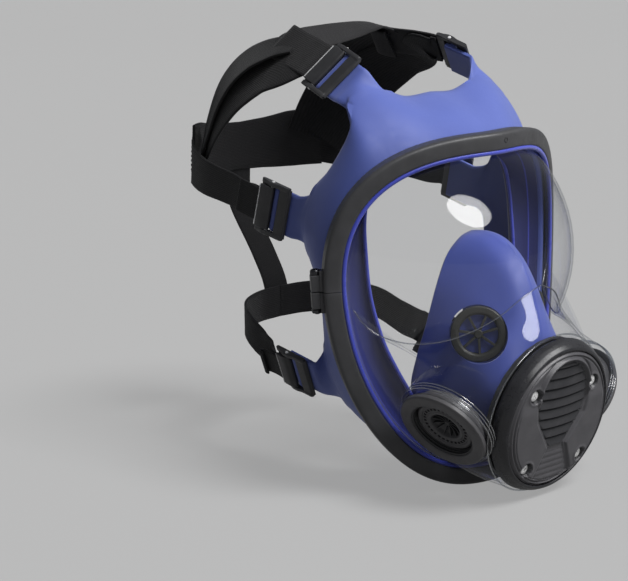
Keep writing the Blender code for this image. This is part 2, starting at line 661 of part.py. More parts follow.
g = cup_rows()
m_, n_ = g.shape[:2]
nor = np.zeros_like(g)
for i in range(m_):
    for j in range(n_):
        du = g[(i + 1) % m_, j] - g[i - 1, j]
        dv = g[i, min(j + 1, n_ - 1)] - g[i, max(j - 1, 0)]
        nor[i, j] = unit(np.cross(du, dv))
centre = g.reshape(-1, 3).mean(0)
if np.sum(nor * (g - centre)) < 0:
    nor = -nor
inner = g - nor * CUP_T
inner[:, -1] = g[:, -1] + (front(0, 0, -18.0) - g[:, -1]) * (CUP_T / CUP_RING_R)
cup = sweep([list(g[i]) + list(inner[i][::-1]) for i in range(m_)], True)
VC, VN = np.array(CUP_VALVE_C, float), unit(CUP_VALVE_N)
cup_cuts = []
for sign in (1, -1):
    m = np.array((sign, 1, 1), float)
    cup_cuts.append(moved(lathe(((0, -12), (17.0, -12), (17.0, 14), (0, 14)), 16), VC * m, frame_of(VN * m)))
cup = combine(cup, cup_cuts, "DIFFERENCE")
put("nose_cup", tessellate(cup), "blue_silicone", angle=40)
cup_seat_me = tessellate(spider(CUP_VALVE_R, 11.4, 2.6, 6, 1.6, -1.3, 1.3, 16))
cup_flap_me = moved(flap(12.6, 0.7, 2.0, 14), (0, 0, 0), ((1, 0, 0), (0, -1, 0), (0, 0, -1)))
for tag, sign in (("R", 1), ("L", -1)):
    m = np.array((sign, 1, 1), float)
    ax = frame_of(VN * m)
    put("cup_valve_seat_" + tag, cup_seat_me, "black_plastic", VC * m, ax)
    put("cup_valve_flap_" + tag, cup_flap_me, "clear_valve", VC * m - ax[:, 2] * 2.2, ax)

# ---------------------------------------------------------------- face blank
HC, HR = np.array(HEAD_C), np.array(HEAD_RADII)


def head_normal(p):
    d = (np.array(p, float) - HC) / HR
    return unit(np.sign(d) * np.abs(d) ** (HEAD_POWER - 1) / HR)


def on_head(p, off=0.0):
    """The point of the head form nearest along its own ray, raised by off."""
    d = (np.array(p, float) - HC) / HR
    q = HC + HR * d / np.sum(np.abs(d) ** HEAD_POWER) ** (1 / HEAD_POWER)
    return q + off * head_normal(q)


def buckle_axes(spec, sign=1):
    m = np.array((sign, 1, 1), float)
    n = unit(np.array(spec["n"]) * m)
    v = np.array(spec["v"]) * m
    v = unit(v - np.dot(v, n) * n)
    return np.array(spec["at"]) * m, np.column_stack((np.cross(v, n), v, n))


EDGE_LINE = np.array(catmull(BLANK_EDGE, 10))
half = OUTLINE_STEPS // 2


def edge_normal(e):
    """Outward direction of the sheet at its back edge."""
    top = unit((0.25 * e[0] / 70, -0.42, 0.88))
    sidewise = unit((math.copysign(1.0, e[0] or 1.0), -0.25, 0.1))
    chin = unit((0.35 * e[0] / 60, -0.25, -0.9))
    w1 = min(1.0, max(0.0, (e[2] - 84) / 40))
    w2 = min(1.0, max(0.0, (-30 - e[2]) / 55))
    return unit(top * w1 + chin * w2 + sidewise * max(0.0, 1 - w1 - w2) * (1.0 if abs(e[0]) > 1 else 0.0) + top * 1e-6)


def sheet_section(k):
    """Front, middle and back points and the outward direction of the sheet at fraction k from brow to chin."""
    s = 0.5 * k
    e = along(EDGE_LINE, [k])[0]
    a = (rim_point(s, -8.4, -12.6) + rim_point(s, -12.6, -13.2)) / 2
    en = edge_normal(e)
    return a, 0.5 * (a + e) + en * 3.5, e, en


rows = []
for i in range(OUTLINE_STEPS):
    k = (i if i <= half else OUTLINE_STEPS - i) / half
    s = 0.5 * k
    a, mid, e, en = sheet_section(k)
    o = [rim_point(s, -3.4, -9.1), rim_point(s, -8.4, -9.1), rim_point(s, -8.4, -12.6)]
    q = [rim_point(s, -3.4, -5.7), rim_point(s, -12.6, -5.7), rim_point(s, -12.6, -13.2)]
    o += [mid + en * BLANK_T / 2, e + en * BLANK_T / 2]
    q += [mid - en * BLANK_T / 2, e - en * BLANK_T / 2]
    sec = o + q[::-1]
    if i > half:
        sec = [p * np.array((-1, 1, 1)) for p in sec]
    rows.append(sec)
blank = sweep(rows, True)


def tab(spec, sign):
    """A strap tab of the face blank: leaves the sheet, runs under the buckle's wide bar and ends in a bead."""
    at, ax = buckle_axes(spec, 1)
    u, v, n = ax[:, 0], ax[:, 1], ax[:, 2]
    d = np.linalg.norm(EDGE_LINE - np.array(spec["base"], float), axis=1)
    lens = np.r_[0, np.cumsum(np.linalg.norm(np.diff(EDGE_LINE, axis=0), axis=1))]
    k = lens[int(np.argmin(d))] / lens[-1]
    a, mid, e, en = sheet_section(k)
    w = spec["depth"] * 2 - 1
    root = mid + (e - mid) * w
    run = unit(e - mid)
    rn = unit(en - np.dot(en, run) * run)

    def sec(c, uu, nn, w, lo, hi):
        uu = unit(uu - np.dot(uu, nn) * nn)
        r = [c - uu * w / 2 + nn * lo, c + uu * w / 2 + nn * lo, c + uu * w / 2 + nn * hi, c - uu * w / 2 + nn * hi]
        return [p * np.array((sign, 1, 1)) for p in r]
    s = [sec(root, u, rn, TAB_W + 6, -2.3, 2.3)]
    s.append(sec(e + 2.0 * run, u, unit(rn + 0.4 * n), TAB_W + 3, -1.9, 1.9))
    s.append(sec(at - 4 * v, u, n, TAB_W, -2.5, 0.5))
    s.append(sec(at + 7.9 * v, u, n, TAB_W, -2.5, 0.5))
    s.append(sec(at + 8.1 * v, u, n, TAB_W, -2.5, 2.5))
    s.append(sec(at + 11.2 * v, u, n, TAB_W, -2.5, 2.5))
    return sweep(s, False)


blank = combine(blank, [tab(BUCKLES[k], s) for k in ("top", "temple", "lower") for s in (1, -1)], "UNION")
put("face_blank", tessellate(blank), "blue_silicone", angle=40)

# ---------------------------------------------------------------- buckles
BW, BL = BUCKLE_W / 2, BUCKLE_L
frame_me = block(-BW, BW, 0, BL, 0.8, 4.4)
cut = [block(-13.7, 13.7, 7.5, 11.6, 0, 6),           # window the tab's bead stands in
       block(-13.7, 13.7, 11.4, 17.4, 0, 6),          # open bay under the cam bar
       block(-13.7, 13.7, 17.2, 24, 2.4, 6),          # the strap bar is lower than the rails
       block(-13.7, 13.7, -1, 7.7, 3.6, 6)]           # the wide bar is lower than the rails
frame_me = combine(frame_me, cut, "DIFFERENCE")
hole = moved(lathe(((0, -20), (1.12, -20), (1.12, 20), (0, 20)), 8), (0, 13.6, 3.0), ((0, 0, 1), (0, 1, 0), (-1, 0, 0)))
frame_me = tessellate(combine(frame_me, [hole], "DIFFERENCE"))
# cam bar: a rounded flap on two pins, its origin on the pin axis
cam_rows = []
for x in (-13.3, 13.3):
    prof = [(1.7 * math.cos(a), 1.7 * math.sin(a)) for a in [math.radians(d) for d in (100, 130, 160, 190, 220, 250)]]
    prof += [(0.6, -0.1), (7.2, 0.5), (8.2, 1.4), (7.4, 2.2), (3.0, 2.6)]
    cam_rows.append([(x, y, z + 0.0) for y, z in prof])
cam_me = sweep(cam_rows, False)
pin = moved(lathe(((0, -16.3), (1.0, -16.3), (1.0, 16.3), (0, 16.3)), 8), (0, 0, 0), ((0, 0, 1), (0, 1, 0), (-1, 0, 0)))
cam_me = tessellate(combine(cam_me, [pin], "UNION"))
for key in ("top", "temple", "lower"):
    for tag, sign in (("R", 1), ("L", -1)):
        at, ax = buckle_axes(BUCKLES[key], sign)
        fr = moved(frame_me, (0, 0, -0.8))             # the frame's origin sits on its swing axis
        put("buckle_%s_%s" % (key, tag), fr, "black_plastic", at + 0.8 * ax[:, 2], ax)
        put("buckle_cam_%s_%s" % (key, tag), cam_me, "black_satin", at + 13.6 * ax[:, 1] + 3.0 * ax[:, 2], ax)


# ---------------------------------------------------------------- harness straps
def strap(name, path, widths=None, seg=3, normals=None, start=None):
    """A flat band along points: its face follows the head form, or the buckle's face at a start given."""
    pts = catmull(path, seg)
    rows = []
    n = len(pts)
    for i, p in enumerate(pts):
        t = unit(pts[min(i + 1, n - 1)] - pts[max(i - 1, 0)])
        nn = head_normal(p) if normals is None else normals(p)
        if start is not None:
            k = min(1.0, max(0.0, (i - seg) / (1.5 * seg)))
            nn = unit(start[:, 2] * (1 - k) + nn * k)
            t = unit(start[:, 1] * (1 - k) + t * k)
        nn = unit(nn - np.dot(nn, t) * t)
        w = np.cross(t, nn)
        hw = STRAP_W / 2 if widths is None else np.interp(i / (n - 1), np.linspace(0, 1, len(widths)), widths) / 2
        ht = STRAP_T / 2
        rows.append([p - w * hw - nn * ht, p + w * hw - nn * ht, p + w * hw + nn * ht, p - w * hw + nn * ht])
    put(name, tessellate(sweep(rows, False)), "black_webbing")


def sided(points, sign):
    return [np.array(p, float) * np.array((sign, 1, 1)) for p in points]


PATHS = {
    "top": ((-57, 62, 136), (-60, 86, 125), (-57, 111, 111), (-48.5, 135, 96.5)),
    "temple": ((-77, 90, 64), (-68, 118, 67), (-56.5, 140, 70)),
    "lower": ((-60, 80, -36), (-56, 98, -29), (-43, 116, -26), (-22, 127, -25), (-0.8, 130, -25)),
}
for tag, sign in (("R", 1), ("L", -1)):
    for key in ("top", "temple", "lower"):
        at, ax = buckle_axes(BUCKLES[key], sign)
        first = at + (BL + 1.0) * ax[:, 1] + 1.6 * ax[:, 2]
        second = at + (BL + 7.0) * ax[:, 1] + 1.4 * ax[:, 2]
        pts = sided(PATHS[key], sign)
        if key != "lower":
            pts = [on_head(p, 2.5) for p in pts]
            strap("strap_%s_%s" % (key, tag), [first, second] + pts, start=ax)
        else:
            strap("strap_%s_%s" % (key, tag), [first, second] + pts, seg=2, start=ax,
                  normals=lambda p: unit((p[0], 0.9 * (p[1] - 62), 0.0)))

band = [on_head(p, 2.5) for p in ((-50, 148, 74), (-27, 160, 74), (0, 164, 74), (27, 160, 74), (50, 148, 74))]
strap("harness_back_band", band, widths=(38, 34, 32, 34, 38), seg=2)
crown = [on_head(p, 6.8 if abs(p[0]) > 50 else 5.3) for p in ((-54, 71, 136), (-38, 80, 146), (-19, 87, 150), (0, 90, 150), (19, 87, 150), (38, 80, 146),
                                   (54, 71, 136))]
strap("strap_crown", crown, seg=2)
spine = [on_head((0, 164, 62), 5.3), on_head((0, 160, 38), 3.0), np.array((0, 146.0, 6.0)), np.array((0, 133.6, -14.0)),
         np.array((0, 132.4, -35.0))]
strap("strap_spine", spine, seg=3, normals=lambda p: (0, 1, 0.02 * (p[2] - 20)))
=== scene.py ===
"""A full-face breathing mask with its head harness.

Modelling is in mm. The wearer looks along -Y with +Z up, so the wearer's right side is at -X.
Side 1 is the wearer's right, tagged R; side -1 mirrors it in X, tagged L.
"""
import json
import math

import bmesh
import bpy
import numpy as np
from mathutils import Matrix, Vector

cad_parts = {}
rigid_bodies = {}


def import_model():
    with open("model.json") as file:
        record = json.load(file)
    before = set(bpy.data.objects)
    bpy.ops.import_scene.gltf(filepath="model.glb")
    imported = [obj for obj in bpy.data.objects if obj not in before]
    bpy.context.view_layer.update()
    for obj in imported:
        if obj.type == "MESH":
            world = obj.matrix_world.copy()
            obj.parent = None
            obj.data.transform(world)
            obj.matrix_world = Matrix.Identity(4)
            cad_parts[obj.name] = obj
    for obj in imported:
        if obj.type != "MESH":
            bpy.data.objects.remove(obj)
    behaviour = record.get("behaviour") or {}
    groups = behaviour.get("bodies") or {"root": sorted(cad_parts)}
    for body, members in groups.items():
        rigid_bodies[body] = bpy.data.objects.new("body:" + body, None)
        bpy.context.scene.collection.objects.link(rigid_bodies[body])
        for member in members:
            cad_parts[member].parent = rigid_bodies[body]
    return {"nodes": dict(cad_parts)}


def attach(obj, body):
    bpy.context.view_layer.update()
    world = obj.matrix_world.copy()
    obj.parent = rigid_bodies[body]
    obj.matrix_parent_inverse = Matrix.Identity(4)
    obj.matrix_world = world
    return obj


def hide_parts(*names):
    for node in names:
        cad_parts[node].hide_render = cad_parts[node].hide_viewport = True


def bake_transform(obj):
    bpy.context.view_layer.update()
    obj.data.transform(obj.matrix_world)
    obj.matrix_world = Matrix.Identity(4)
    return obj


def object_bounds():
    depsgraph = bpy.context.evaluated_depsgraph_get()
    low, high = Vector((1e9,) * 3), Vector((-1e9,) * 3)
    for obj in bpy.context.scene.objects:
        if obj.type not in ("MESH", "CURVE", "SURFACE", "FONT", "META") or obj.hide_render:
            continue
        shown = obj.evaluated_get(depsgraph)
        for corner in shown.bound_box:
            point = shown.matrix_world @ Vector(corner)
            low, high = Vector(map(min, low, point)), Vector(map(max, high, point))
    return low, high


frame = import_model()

CAD_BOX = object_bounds()
SCENE = bpy.context.scene
MM = 0.001
ORIGIN = np.array((0.0, 27.6, 25.4))  # the middle of the object's box, in mm
BODY = "mask"
SIDES = (("R", 1), ("L", -1))
MIRROR = np.array((-1, 1, 1))
TURN = 2 * math.pi


# ================================================================ vectors and curves
def unit(v):
    """A vector, or each row of an array, brought to length 1."""
    v = np.array(v, float)
    return v / np.linalg.norm(v, axis=-1, keepdims=True)


def square_to(v, axis):
    """The unit vector nearest to v at a right angle to a unit axis."""
    return unit(v - np.dot(v, axis) * axis)


def to_scene(point):
    """A point in mm as a point of the scene in metres."""
    return Vector((np.array(point, float) - ORIGIN) * MM)


def mirrored(points, side):
    return np.array(points, float) * (side, 1, 1)


def signed_power(value, power):
    return math.copysign(abs(value) ** power, value)


def clamp(value, low=0.0, high=1.0):
    return min(high, max(low, value))


def ease(t):
    t = clamp(t)
    return t * t * (3 - 2 * t)


def frame_of(normal, up=(0, 0, 1)):
    """Axes as columns, with z along the normal and y towards up."""
    z = unit(normal)
    y = square_to(np.array(up, float), z)
    return np.column_stack((np.cross(y, z), y, z))


def quadratic(a, control, b, t):
    return (1 - t) ** 2 * a + 2 * t * (1 - t) * control + t * t * b


def smooth_curve(points, steps):
    """A Catmull-Rom curve through the points, with so many steps to a span."""
    pts = [np.array(p, float) for p in points]
    pts = [2 * pts[0] - pts[1]] + pts + [2 * pts[-1] - pts[-2]]
    curve = []
    for before, a, b, after in zip(pts, pts[1:], pts[2:], pts[3:]):
        for j in range(steps):
            t = j / steps
            curve.append(0.5 * (2 * a + (b - before) * t
                                + (2 * before - 5 * a + 4 * b - after) * t * t
                                + (3 * a - before - 3 * b + after) * t ** 3))
    return np.array(curve + [pts[-2]])


def lengths(points):
    """Distance along the points at each of them."""
    steps = np.diff(np.array(points, float), axis=0)
    return np.r_[0, np.cumsum(np.linalg.norm(steps, axis=1))]


def along(points, fractions):
    """Points at fractions of the length of a line of points."""
    points = np.array(points, float)
    d = lengths(points)
    d /= d[-1]
    return np.column_stack([np.interp(fractions, d, column) for column in points.T])


def circle(centre, axis_a, axis_b, radius, count):
    return [centre + radius * (math.cos(w) * axis_a + math.sin(w) * axis_b)
            for w in [TURN * j / count for j in range(count)]]


def rounded(profile, radius, steps=3, closed=True):
    """A profile with its corners rounded; an open one keeps its two ends."""
    pts = [np.array(p, float) for p in profile]
    count = len(pts)
    out = []
    for i in range(count) if closed else range(1, count - 1):
        p = pts[i]
        a, b = pts[i - 1] - p, pts[(i + 1) % count] - p
        length_a, length_b = np.linalg.norm(a), np.linalg.norm(b)
        cut = min(radius, 0.45 * length_a, 0.45 * length_b)
        a, b = p + a / length_a * cut, p + b / length_b * cut
        out += [tuple(quadratic(a, p, b, k / steps)) for k in range(steps + 1)]
    return out if closed else [tuple(pts[0])] + out + [tuple(pts[-1])]


# ================================================================ meshes
def outward(mesh):
    bm = bmesh.new()
    bm.from_mesh(mesh)
    bmesh.ops.recalc_face_normals(bm, faces=bm.faces)
    bm.to_mesh(mesh)
    bm.free()
    return mesh


def finished(bm):
    mesh = bpy.data.meshes.new("m")
    bm.to_mesh(mesh)
    bm.free()
    return mesh


def tube(rows, closed=False, face_out=True):
    """Loops of equal length joined into a skin; the ends are capped unless closed."""
    grid = np.array(rows, float)
    m, n = grid.shape[:2]
    faces = []
    for i in range(m if closed else m - 1):
        a, b = i * n, ((i + 1) % m) * n
        for j in range(n):
            k = (j + 1) % n
            faces.append((a + j, a + k, b + k, b + j))
    if not closed:
        faces += [tuple(range(n)), tuple(range((m - 1) * n, m * n))]
    mesh = bpy.data.meshes.new("m")
    mesh.from_pydata(grid.reshape(-1, 3).tolist(), [], faces)
    return outward(mesh) if face_out else mesh


def double_skin(outer, inner):
    """A closed shell from two grids of columns that run round the object."""
    return tube(np.concatenate([outer, inner[:, ::-1]], 1), closed=True)


def bar(profile, stations):
    """A (y, z) profile run along X."""
    return tube([[(x, y, z) for y, z in profile] for x in stations])


def cord(path, normals, radius, sides=10, closed=True):
    """A round cord along a line of points."""
    n = len(path)
    rows = []
    for i in range(n):
        if closed:
            tangent = unit(path[(i + 1) % n] - path[i - 1])
        else:
            tangent = unit(path[min(i + 1, n - 1)] - path[max(i - 1, 0)])
        up = square_to(normals[i], tangent)
        rows.append(circle(path[i], up, np.cross(tangent, up), radius, sides))
    return tube(rows, closed)


def lathe(profile, steps):
    """Turned about Z from (radius, height): a closed ring, or a chain from axis to axis."""
    bm = bmesh.new()
    verts = [bm.verts.new((r, 0, h)) for r, h in profile]
    chain = [bm.edges.new(pair) for pair in zip(verts, verts[1:])]
    if profile[0][0] > 1e-6 and profile[-1][0] > 1e-6:
        chain.append(bm.edges.new((verts[-1], verts[0])))
    bmesh.ops.spin(bm, geom=verts + chain, cent=(0, 0, 0), axis=(0, 0, 1), angle=TURN,
                   steps=steps, use_merge=True, use_duplicate=False)
    bmesh.ops.remove_doubles(bm, verts=bm.verts, dist=1e-4)
    bmesh.ops.recalc_face_normals(bm, faces=bm.faces)
    return finished(bm)


def block(xs, ys, zs, bevel=0.0, segments=3):
    """A box from its (low, high) spans."""
    spans = (xs, ys, zs)
    bm = bmesh.new()
    bmesh.ops.create_cube(bm, size=1.0)
    bmesh.ops.scale(bm, vec=Vector([b - a for a, b in spans]), verts=bm.verts)
    bmesh.ops.translate(bm, vec=Vector([(a + b) / 2 for a, b in spans]), verts=bm.verts)
    if bevel:
        bmesh.ops.bevel(bm, geom=bm.edges[:], offset=bevel, segments=segments, profile=0.6,
                        affect="EDGES")
    return finished(bm)


def matrix_of(axes, at):
    matrix = Matrix([[float(value) for value in row] for row in axes]).to_4x4()
    matrix.translation = Vector(at)
    return matrix


def moved(mesh, at=(0, 0, 0), axes=None):
    copy = mesh.copy()
    copy.transform(matrix_of(np.eye(3) if axes is None else axes, at))
    return copy


def turned(mesh, angle):
    c, s = math.cos(angle), math.sin(angle)
    return moved(mesh, axes=((c, -s, 0), (s, c, 0), (0, 0, 1)))


def ring_of(mesh, count, phase=0.0):
    """Copies of a mesh spaced round the Z axis."""
    return [turned(mesh, TURN * k / count + phase) for k in range(count)]


def joined(meshes):
    bm = bmesh.new()
    for mesh in meshes:
        bm.from_mesh(mesh)
    return finished(bm)


def combine(base, others, operation):
    """Base joined with, or cut by, each other closed mesh in turn."""
    for mesh in others:
        work = bpy.data.objects.new("work", base)
        tool = bpy.data.objects.new("tool", mesh)
        SCENE.collection.objects.link(work)
        SCENE.collection.objects.link(tool)
        boolean = work.modifiers.new("b", "BOOLEAN")
        boolean.operation, boolean.solver, boolean.object = operation, "EXACT", tool
        graph = bpy.context.evaluated_depsgraph_get()
        base = bpy.data.meshes.new_from_object(work.evaluated_get(graph))
        bpy.data.objects.remove(work, do_unlink=True)
        bpy.data.objects.remove(tool, do_unlink=True)
        bm = bmesh.new()
        bm.from_mesh(base)
        bmesh.ops.remove_doubles(bm, verts=bm.verts, dist=0.002)
        bmesh.ops.dissolve_degenerate(bm, edges=bm.edges, dist=0.002)
        bm.to_mesh(base)
        bm.free()
    return base


def piece(name, mesh, material, slot, stands=None, body=BODY, at=(0, 0, 0), axes=None, angle=38):
    """Puts a mesh made in mm into the scene; with no body, it is left unattached.

    stands is the CAD piece it replaces; edges sharper than angle, in degrees, stay crisp.
    """
    mesh = moved(mesh, at, axes)
    mesh.transform(Matrix.Translation(Vector(-ORIGIN)))
    mesh.transform(Matrix.Scale(MM, 4))
    mesh.name = name
    mesh.materials.clear()
    mesh.materials.append(MATERIALS[material])
    mesh.shade_smooth()
    if angle:
        mesh.set_sharp_from_angle(angle=math.radians(angle))
    ob = bpy.data.objects.new(name, mesh)
    SCENE.collection.objects.link(ob)
    if body:
        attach(ob, body)
    if stands:
        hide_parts(stands)
    return ob


# ================================================================ shader nodes
MATERIALS = {}


def new_material(name):
    """Files a new material; gives its tree, its shader and its object coordinates."""
    material = bpy.data.materials.new(name)
    material.use_nodes = True
    MATERIALS[name] = material
    tree = material.node_tree
    coord = tree.nodes.new("ShaderNodeTexCoord").outputs["Object"]
    return tree, tree.nodes["Principled BSDF"], coord


def set_values(node, values):
    for key, value in values.items():
        node.inputs[key].default_value = value


def add_node(tree, kind, **values):
    node = tree.nodes.new("ShaderNode" + kind)
    set_values(node, values)
    return node


def noise(tree, coord, scale, detail, roughness):
    node = add_node(tree, "TexNoise", Scale=scale, Detail=detail, Roughness=roughness)
    tree.links.new(coord, node.inputs["Vector"])
    return node.outputs["Fac"]


def ramp(tree, factor, *stops):
    """A colour ramp from (position, colour) stops."""
    node = tree.nodes.new("ShaderNodeValToRGB")
    elements = node.color_ramp.elements
    while len(elements) < len(stops):
        elements.new(0.5)
    for element, (position, colour) in zip(elements, stops):
        element.position = position
        element.color = (*colour, 1.0)
    tree.links.new(factor, node.inputs["Fac"])
    return node.outputs["Color"]


def grey_ramp(tree, factor, target, low, high, start=0.3, end=0.7):
    """Spreads a factor from a low to a high value and feeds it to a socket."""
    tree.links.new(ramp(tree, factor, (start, (low,) * 3), (end, (high,) * 3)), target)


def maths(tree, operation, a, b=None):
    node = tree.nodes.new("ShaderNodeMath")
    node.operation = operation
    for i, value in enumerate((a, b)):
        if isinstance(value, (int, float)):
            node.inputs[i].default_value = value
        elif value is not None:
            tree.links.new(value, node.inputs[i])
    return node.outputs[0]


def mix_colour(tree, factor, first, second):
    """Mixes a colour socket with a fixed colour."""
    node = tree.nodes.new("ShaderNodeMix")
    node.data_type = "RGBA"
    tree.links.new(factor, node.inputs["Factor"])
    tree.links.new(first, node.inputs[6])
    node.inputs[7].default_value = (*second, 1)
    return node.outputs[2]


def bump(tree, height, distance, strength, under=None):
    """Relief with its depth in metres, laid over another normal if given."""
    node = add_node(tree, "Bump", Distance=distance, Strength=strength)
    tree.links.new(height, node.inputs["Height"])
    if under is not None:
        tree.links.new(under, node.inputs["Normal"])
    return node.outputs["Normal"]


def scaled(colour, factor):
    return tuple(c * factor for c in colour)


def eye_only(tree, strength, less_diffuse, less_glossy):
    """A glow as the camera sees it, made weaker for diffuse and glossy rays."""
    path = tree.nodes.new("ShaderNodeLightPath").outputs
    dim = maths(tree, "ADD", maths(tree, "MULTIPLY", path["Is Diffuse Ray"], less_diffuse),
                maths(tree, "MULTIPLY", path["Is Glossy Ray"], less_glossy))
    return maths(tree, "SUBTRACT", strength, dim)


# ================================================================ materials
def silicone(name, deep, lit, rough):
    """Moulded silicone: soft sheen, faint clouding, orange peel, and a painted sheen that pales
    it where it turns away.
    """
    tree, shader, coord = new_material(name)
    cloud = noise(tree, coord, scale=38, detail=3, roughness=0.5)
    body = ramp(tree, cloud, (0.30, deep), (0.72, lit))
    # painted sheen: the colour is mixed towards a paler blue where the surface turns away
    facing = add_node(tree, "LayerWeight", Blend=0.35).outputs["Facing"]
    painted_sheen_colour = (lit[0] * 1.9, lit[1] * 1.7, lit[2] * 1.25)
    colour = mix_colour(tree, maths(tree, "MULTIPLY", facing, 0.45), body, painted_sheen_colour)
    tree.links.new(colour, shader.inputs["Base Color"])
    mottle = noise(tree, coord, scale=220, detail=3, roughness=0.6)
    grey_ramp(tree, mottle, shader.inputs["Roughness"], low=rough - 0.05, high=rough + 0.07)
    set_values(shader, {"Specular IOR Level": 0.42, "Sheen Weight": 0.18, "Sheen Roughness": 0.5})
    peel = bump(tree, noise(tree, coord, scale=1500, detail=2, roughness=0.5),
                distance=0.00006, strength=0.5)
    waves = bump(tree, noise(tree, coord, scale=60, detail=2, roughness=0.5),
                 distance=0.0006, strength=0.16, under=peel)
    tree.links.new(waves, shader.inputs["Normal"])


def plastic(name, dark, pale, rough, grain, depth, strength, painted_edge_highlight):
    """Moulded plastic: fine spark texture, mottled gloss, sharp edges painted paler as a
    highlight.
    """
    tree, shader, coord = new_material(name)
    cloud = noise(tree, coord, scale=90, detail=4, roughness=0.6)
    colour = ramp(tree, cloud, (0.3, dark), (0.75, pale))
    # painted highlight: sharp convex edges are mixed towards a paler colour
    if painted_edge_highlight:
        point = tree.nodes.new("ShaderNodeNewGeometry").outputs["Pointiness"]
        edges = ramp(tree, point, (0.51, (0, 0, 0)), (0.60, (1, 1, 1)))
        colour = mix_colour(tree, maths(tree, "MULTIPLY", edges, painted_edge_highlight), colour, scaled(pale, 2.2))
    tree.links.new(colour, shader.inputs["Base Color"])
    mottle = noise(tree, coord, scale=400, detail=3, roughness=0.6)
    grey_ramp(tree, mottle, shader.inputs["Roughness"], low=rough - 0.06, high=rough + 0.08)
    spark = noise(tree, coord, scale=grain, detail=2, roughness=0.6)
    tree.links.new(bump(tree, spark, distance=depth, strength=strength), shader.inputs["Normal"])


def steel(name, colour, rough, metal):
    """Metal with fine mottling in its colour, gloss and relief."""
    tree, shader, coord = new_material(name)
    mottle = noise(tree, coord, scale=900, detail=3, roughness=0.7)
    base = ramp(tree, mottle, (0.25, scaled(colour, 0.85)), (0.75, colour))
    tree.links.new(base, shader.inputs["Base Color"])
    shader.inputs["Metallic"].default_value = metal
    grey_ramp(tree, mottle, shader.inputs["Roughness"], low=rough - 0.06, high=rough + 0.10)
    relief = bump(tree, mottle, distance=0.00003, strength=0.3)
    tree.links.new(relief, shader.inputs["Normal"])


def clear(name, tint, edge, rough, reflection):
    """Clear plastic: see-through face on, mirror-like and darker where it turns away."""
    tree, shader, coord = new_material(name)
    tree.nodes.remove(shader)
    facing = add_node(tree, "LayerWeight", Blend=0.5).outputs["Facing"]
    colour = ramp(tree, facing, (0.0, tint), (0.80, scaled(tint, 0.99)), (0.955, edge),
                  (1.0, scaled(edge, 0.62)))
    through = tree.nodes.new("ShaderNodeBsdfTransparent")
    tree.links.new(colour, through.inputs["Color"])
    gloss = add_node(tree, "BsdfGlossy", Color=(1, 1, 1, 1))
    haze = noise(tree, coord, scale=55, detail=3, roughness=0.5)
    grey_ramp(tree, haze, gloss.inputs["Roughness"], low=rough, high=rough + 0.04,
              start=0.35, end=0.8)
    flow = bump(tree, noise(tree, coord, scale=30, detail=2, roughness=0.4),
                distance=0.0012, strength=0.10)
    tree.links.new(flow, gloss.inputs["Normal"])
    # reflection rises towards grazing; the inner faces reflect less
    back = tree.nodes.new("ShaderNodeNewGeometry").outputs["Backfacing"]
    rise = maths(tree, "MULTIPLY", maths(tree, "POWER", facing, 5.0), 0.60)
    amount = maths(tree, "ADD", rise, reflection)
    side = maths(tree, "SUBTRACT", 1.0, maths(tree, "MULTIPLY", back, 0.6))
    mix = tree.nodes.new("ShaderNodeMixShader")
    tree.links.new(maths(tree, "MULTIPLY", amount, side), mix.inputs["Fac"])
    tree.links.new(through.outputs[0], mix.inputs[1])
    tree.links.new(gloss.outputs[0], mix.inputs[2])
    tree.links.new(mix.outputs[0], tree.nodes["Material Output"].inputs["Surface"])


def webbing(name, dark, pale, rib=0.00115, pick=0.0009):
    """Woven webbing: warp ribs crossed by weft picks, spaced in metres on the strap's UV."""
    tree, shader, coord = new_material(name)
    split = tree.nodes.new("ShaderNodeSeparateXYZ")
    tree.links.new(coord.node.outputs["UV"], split.inputs[0])
    lengthwise, across = split.outputs[0], split.outputs[1]
    rib_count = maths(tree, "MULTIPLY", across, 1.0 / rib)
    wave = maths(tree, "SINE", maths(tree, "MULTIPLY", rib_count, math.pi))
    ribs = maths(tree, "ABSOLUTE", wave)
    # each rib's picks are half a wave out of step with its neighbour's
    shift = maths(tree, "MULTIPLY", maths(tree, "FLOOR", rib_count), math.pi)
    phase = maths(tree, "ADD", maths(tree, "MULTIPLY", lengthwise, TURN / pick), shift)
    picks = maths(tree, "MULTIPLY", maths(tree, "SINE", phase), 0.35)
    picks = maths(tree, "ADD", picks, 0.65)
    height = maths(tree, "MULTIPLY", ribs, picks)
    fuzz = noise(tree, coord, scale=2300, detail=3, roughness=0.7)
    tone = noise(tree, coord, scale=70, detail=3, roughness=0.6)
    weave_share = maths(tree, "MULTIPLY", height, 0.55)
    noise_share = maths(tree, "ADD", maths(tree, "MULTIPLY", fuzz, 0.25),
                        maths(tree, "MULTIPLY", tone, 0.3))
    shade = maths(tree, "ADD", weave_share, noise_share)
    tree.links.new(ramp(tree, shade, (0.2, dark), (0.95, pale)), shader.inputs["Base Color"])
    set_values(shader, {"Roughness": 0.78, "Specular IOR Level": 0.35, "Sheen Weight": 0.09,
                        "Sheen Roughness": 0.4})
    weave = bump(tree, height, distance=0.00028, strength=0.8)
    fibres = bump(tree, fuzz, distance=0.0001, strength=0.4, under=weave)
    tree.links.new(fibres, shader.inputs["Normal"])


# name, deep colour, lit colour, roughness
for entry in (
        ("blue_silicone_fine", (0.062, 0.090, 0.315), (0.072, 0.103, 0.350), 0.5),
        ("blue_silicone_cup", (0.050, 0.075, 0.310), (0.062, 0.088, 0.350), 0.40),
        ("blue_silicone_bead", (0.040, 0.054, 0.36), (0.050, 0.066, 0.43), 0.30),
        # a deep navy copy of the silicone for the inner lip: painted shade, as the lip lies in
        # the rim's shadow
        ("blue_silicone_seal", (0.012, 0.015, 0.090), (0.017, 0.022, 0.120), 0.34)):
    silicone(*entry)
